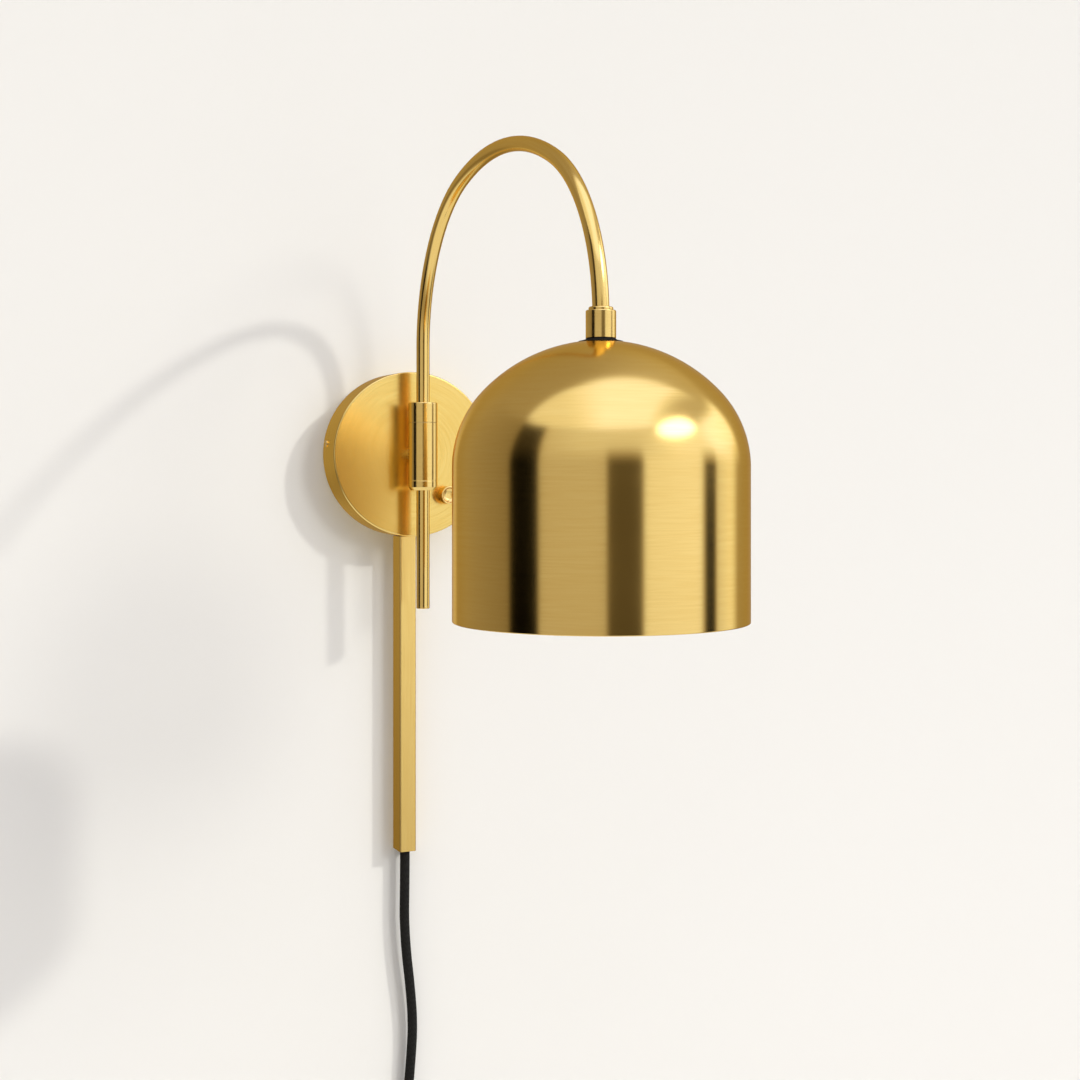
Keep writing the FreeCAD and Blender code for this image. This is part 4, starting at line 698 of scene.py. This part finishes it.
turned("lock_ring", eased([
    (5.3, HOLDER_TOP), (7.2, HOLDER_TOP, 0.15), (7.2, HOLDER_TOP + 2.0, 0.9),
    (5.3, HOLDER_TOP + 2.0, 0.15)], 4),
    (0, SHADE_AXIS), "Z", ARM, ring_brass, ("arm_lock_ring",), steps=64)

turned("holder", eased([
    (5.05, HOLDER_FOOT), (8.85, HOLDER_FOOT, 0.25), (8.85, HOLDER_TOP, 0.75),
    (5.2, HOLDER_TOP, 0.1), (5.2, 69.1), (5.05, 69.1)], 4),
    (0, SHADE_AXIS), "Z", ARM, ring_brass, ("shade_holder",))

turned("seal_washer", eased([
    (5.2, SHADE_TOP), (10.0, SHADE_TOP), (13.0, 61.1), (13.0, 61.45, 0.15), (9.4, 62.3, 0.3),
    (8.4, HOLDER_FOOT), (5.2, HOLDER_FOOT)], 4),
    (0, SHADE_AXIS), "Z", ARM, rubber, ("shade_gasket",))


def shade():
    """The spun shade: a dome arc, a tighter shoulder arc, a straight skirt and a plain rim."""
    top, rim, radius, wall = SHADE_TOP, -100.6, 86.1, 1.2
    dome, shoulder, land, hole = 94.4, 63.8, 10.0, 5.3
    centre = top - math.sqrt(dome ** 2 - land ** 2)
    across, apart = radius - shoulder, dome - shoulder
    lift = math.sqrt(apart ** 2 - across ** 2)
    meet = math.degrees(math.atan2(lift, across))
    level = centre + lift
    outer = arc((0, centre), dome, math.degrees(math.acos(land / dome)), meet, 1.5)
    outer += arc((across, level), shoulder, meet, 0.0, 1.5)[1:]
    inside = arc((across, level), shoulder - wall, 0.0, meet, 3.0)
    inside += arc((0, centre), dome - wall, meet, 84.0, 3.0)[1:]
    outline = [(hole, top - wall), (hole, top, 0.1)] + outer
    outline += [(radius, level - 30), (radius, rim, 0.7), (radius - wall, rim, 0.4),
                (radius - wall, level - 30)]
    outline += inside + [(hole, top - wall - 0.02)]
    return turned("shade_bell", eased(outline, 5), (0, SHADE_AXIS), "Z", ARM,
                  shade_brass, ("shade",), steps=256)


shade()


def bulb():
    """A frosted globe bulb with a soft neck."""
    centre, globe = -48.6, 30.0
    start = math.degrees(math.asin(0.36))    # where the neck runs into the globe
    outline = [(0.0, -0.1), (14.0, -0.1, 0.6), (14.0, -3.1, 8.0)]
    outline += arc((0, centre), globe, start, -88.0, 4.0)
    outline += [(0.0, centre - globe)]
    return turned("globe_bulb", eased(outline, 6, False), (0, SHADE_AXIS), "Z", ARM,
                  frost, ("bulb_glass",), closed=False)


bulb()

# The solids that show as they are, each with a material of its own.
for names, material in (
    (("mounting_bracket", "stem_washer", "stem_locknut", "arm_collar_screw", "threaded_nipple",
      "socket_cap_screws", "cord_cover_rail", "shade_locknut"), steel),
    (("canopy_side_screws", "arm_stem", "dimmer_nut", "dimmer_shaft", "centre_contact"),
     plain_brass),
    (("screw_shell", "bulb_base"), shell),
    (("plug_blades",), blade),
    (("barrel_bush_upper", "barrel_bush_lower", "cord_grip"), polymer),
    (("dimmer_body",), dimmer_case),
    (("socket_cap", "socket_body"), phenolic),
    (("stem_lead", "arm_lead"), rubber),
):
    for name in names:
        for place in NODES[name].material_slots:
            place.material = material


# ---------------------------------------------------------------------------------------------
# Stage, lights and camera
# ---------------------------------------------------------------------------------------------
def one_sided(name, colour):
    """A pale matt paint that shows from its front only."""
    material, tree = new_material(name)
    place = tree.add("TexCoord", out=3)
    noise = tree.add("TexNoise", {"Vector": place, "Scale": 220.0, "Detail": 4.0})
    slow = tree.add("TexNoise", {"Vector": place, "Scale": 3.0, "Detail": 2.0})
    darker = tuple(c * 0.985 for c in colour[:3]) + (1,)
    paint = tree.add("BsdfDiffuse", {"Color": tree.blend(slow, colour, darker),
                                     "Normal": bumped(tree, noise, 0.0002, 0.25)})
    clear = tree.add("BsdfTransparent")
    back = tree.add("NewGeometry", out=6)
    shader = tree.add("MixShader", {0: back, 1: paint, 2: clear})
    tree.add("OutputMaterial", {"Surface": shader})
    return material


def panel(name, corners, material):
    """A flat piece of the stage that the brass doesn't show, with its corners in metres."""
    mesh = bpy.data.meshes.new(name)
    mesh.from_pydata(corners, [], [tuple(range(len(corners)))])
    piece = bpy.data.objects.new(name, mesh)
    piece.data.materials.append(material)
    piece.visible_glossy = False
    bpy.context.scene.collection.objects.link(piece)


LEFT, RIGHT, FRONT, BACK, BOTTOM, TOP = -1.6, 2.2, -3.0, 0.0004, -0.73, 1.6
panel("wall", [(LEFT, BACK, BOTTOM), (RIGHT, BACK, BOTTOM), (RIGHT, BACK, TOP), (LEFT, BACK, TOP)],
      one_sided("wall_paint", (0.83, 0.82, 0.785, 1)))
panel("floor", [(LEFT, FRONT, BOTTOM), (RIGHT, FRONT, BOTTOM), (RIGHT, BACK, BOTTOM),
                (LEFT, BACK, BOTTOM)], one_sided("floor_paint", (0.56, 0.53, 0.47, 1)))

# The panels' levels all round, as (bearing, level): 0 degrees is straight out from the wall and
# 90 degrees is to the right along it. SIDES is for level directions, UPPER for rising ones.
SIDES = ((-180, 0.66), (-174, 0.66), (-170, 0.4), (-150, 0.4), (-133, 0.36), (-110, 0.31),
         (-99.5, 0.28), (-97, 0.0), (-74.5, 0.0), (-72, 0.6), (-22.5, 0.62), (-20, 0.095),
         (5, 0.095), (7.5, 1.0), (30, 1.04), (54.5, 1.08), (60.5, 0.0), (69.3, 0.0),
         (72.5, 0.82), (79, 0.92), (88, 1.06), (92, 1.02), (101, 0.42), (168, 0.42), (180, 0.66))
UPPER = ((-180, 0.42), (-158, 0.42), (-110, 0.31), (-99.5, 0.28), (-96, 0.04), (-76, 0.04),
         (-71, 0.68), (-40, 0.8), (5, 0.82), (35, 1.1), (58, 1.12), (66, 1.25), (76, 1.45),
         (101, 1.45), (108, 0.48), (180, 0.42))
TO_CAMERA, TO_RIGHT = (-0.427, -0.904, 0.0), (0.904, -0.427, 0.0)
LAMP_WAY, LAMP_WIDTH_WAY, LAMP_HEIGHT_WAY = (
    (0.565, -0.616, 0.547), (0.737, 0.676, 0.0), (-0.370, 0.403, 0.836))
LAMP_WIDTH, LAMP_HEIGHT, LAMP_LEVEL = 0.26, 0.125, 5.0
WHITE, WARM, COOL = (1.0, 1.0, 1.0, 1), (1.0, 0.79, 0.46, 1), (1.0, 1.05, 1.38, 1)
PLAIN = (0.93, 0.915, 0.88, 1)               # the pale background past the wall and the floor


def studio_world():
    """Soft panels round the object, written by compass direction and height."""
    world = bpy.data.worlds.new("studio")
    bpy.context.scene.world = world
    world.use_nodes = True
    tree = Tree(world.node_tree)
    direction = tree.add("TexCoord", out=0)
    x, y, z = tree.parts(direction)
    bearing = tree.math("ARCTAN2", x, tree.times(y, -1.0))
    place = tree.total(tree.math("DIVIDE", bearing, 2 * math.pi), 0.5)

    def panels(stops):
        """A grey ramp through (bearing, level) stops."""
        return tree.ramp(place, [((degrees + 180) / 360, grey) for degrees, grey in stops])

    def along(way):
        """How far the direction goes along a unit vector."""
        return tree.add("VectorMath", {0: direction, 1: way}, 1, operation="DOT_PRODUCT")

    # From the side panels up to the rising ones and the ceiling; darker below.
    across = along(TO_RIGHT)
    rise = tree.total(z, tree.smooth(across, 0.35, 0.75, 0.0, 0.09))
    level = tree.mix(tree.smooth(rise, 0.06, 0.40), panels(SIDES), panels(UPPER))
    ceiling = tree.smooth(across, -0.2, 0.5, 0.40, 0.60)
    level = tree.mix(tree.smooth(rise, 0.55, 0.69), level, ceiling)
    # A skylight above the camera, whose far edge runs aslant.
    lean = tree.total(along(TO_CAMERA), tree.times(across, 0.42))
    skylight = tree.times(tree.smooth(lean, -0.145, -0.045), tree.smooth(across, -0.82, -0.66))
    skylight = tree.times(skylight, tree.smooth(across, 0.70, 0.50))
    skylight = tree.times(skylight, tree.smooth(z, 0.58, 0.63))
    level = tree.mix(skylight, level, tree.smooth(across, -0.45, 0.1, 0.98, 1.3))
    level = tree.times(level, tree.smooth(z, -0.3, -0.05, 0.65, 1.0))
    # A small bright lamp panel, high at the right.
    wide = tree.math("DIVIDE", along(LAMP_WIDTH_WAY), LAMP_WIDTH)
    tall = tree.math("DIVIDE", along(LAMP_HEIGHT_WAY), LAMP_HEIGHT)
    apart = tree.total(tree.math("POWER", tree.math("ABSOLUTE", wide), 2.0),
                       tree.math("POWER", tree.math("ABSOLUTE", tall), 2.0))
    lamp = tree.times(tree.smooth(apart, 1.7, 0.4),
                      tree.math("GREATER_THAN", along(LAMP_WAY), 0.0))
    level = tree.mix(lamp, level, LAMP_LEVEL)
    # Dim panels are warm, the brightest are cool, and the lamp is white.
    tint = tree.blend(tree.smooth(level, 0.05, 0.95), WARM, WHITE)
    tint = tree.blend(tree.smooth(level, 1.0, 1.4), tint, COOL)
    tint = tree.blend(lamp, tint, WHITE)
    light = tree.add("VectorMath", {0: tint, "Scale": level}, operation="SCALE")
    # Camera and transmission rays see the plain background, and glossy rays see it downwards.
    rays = tree.tree.nodes.new("ShaderNodeLightPath").outputs
    below = tree.times(rays["Is Glossy Ray"], tree.smooth(z, -0.42, -0.72))
    plain = tree.math("MAXIMUM", rays["Is Camera Ray"], rays["Is Transmission Ray"])
    seen = tree.blend(tree.math("MAXIMUM", plain, below), light, PLAIN)
    shader = tree.add("Background", {"Color": seen, "Strength": 1.0})
    tree.add("OutputWorld", {"Surface": shader})


studio_world()


def sun(name, energy, angle, way):
    """A distant lamp that lights the matt surfaces and leaves no hard glint on the metal."""
    lamp = bpy.data.lights.new(name, "SUN")
    lamp.energy = energy
    lamp.angle = math.radians(angle)
    lamp.color = (1.0, 0.98, 0.91)
    piece = bpy.data.objects.new(name, lamp)
    piece.rotation_euler = Vector(way).to_track_quat("-Z", "Y").to_euler()
    piece.visible_glossy = False
    bpy.context.scene.collection.objects.link(piece)


sun("key", 0.98, 3.0, (-1.02, 1.0, -0.81))
sun("fill", 0.46, 13.0, (-0.55, 1.0, -0.40))

PICTURE, FOCAL, HORIZON, SENSOR = 1080, 1579, 65.7, 36.0     # pixels, and the sensor in mm
camera = bpy.data.cameras.new("camera")
camera.sensor_width = SENSOR
camera.lens = SENSOR * FOCAL / PICTURE
camera.shift_y = -HORIZON / PICTURE
camera_object = bpy.data.objects.new("camera", camera)
camera_object.location = (-0.3971, -1.1861, -0.0155)
camera_object.rotation_euler = (math.radians(90), 0, math.radians(-23.535))
bpy.context.scene.collection.objects.link(camera_object)
bpy.context.scene.camera = camera_object

bpy.context.scene.view_settings.view_transform = "Standard"
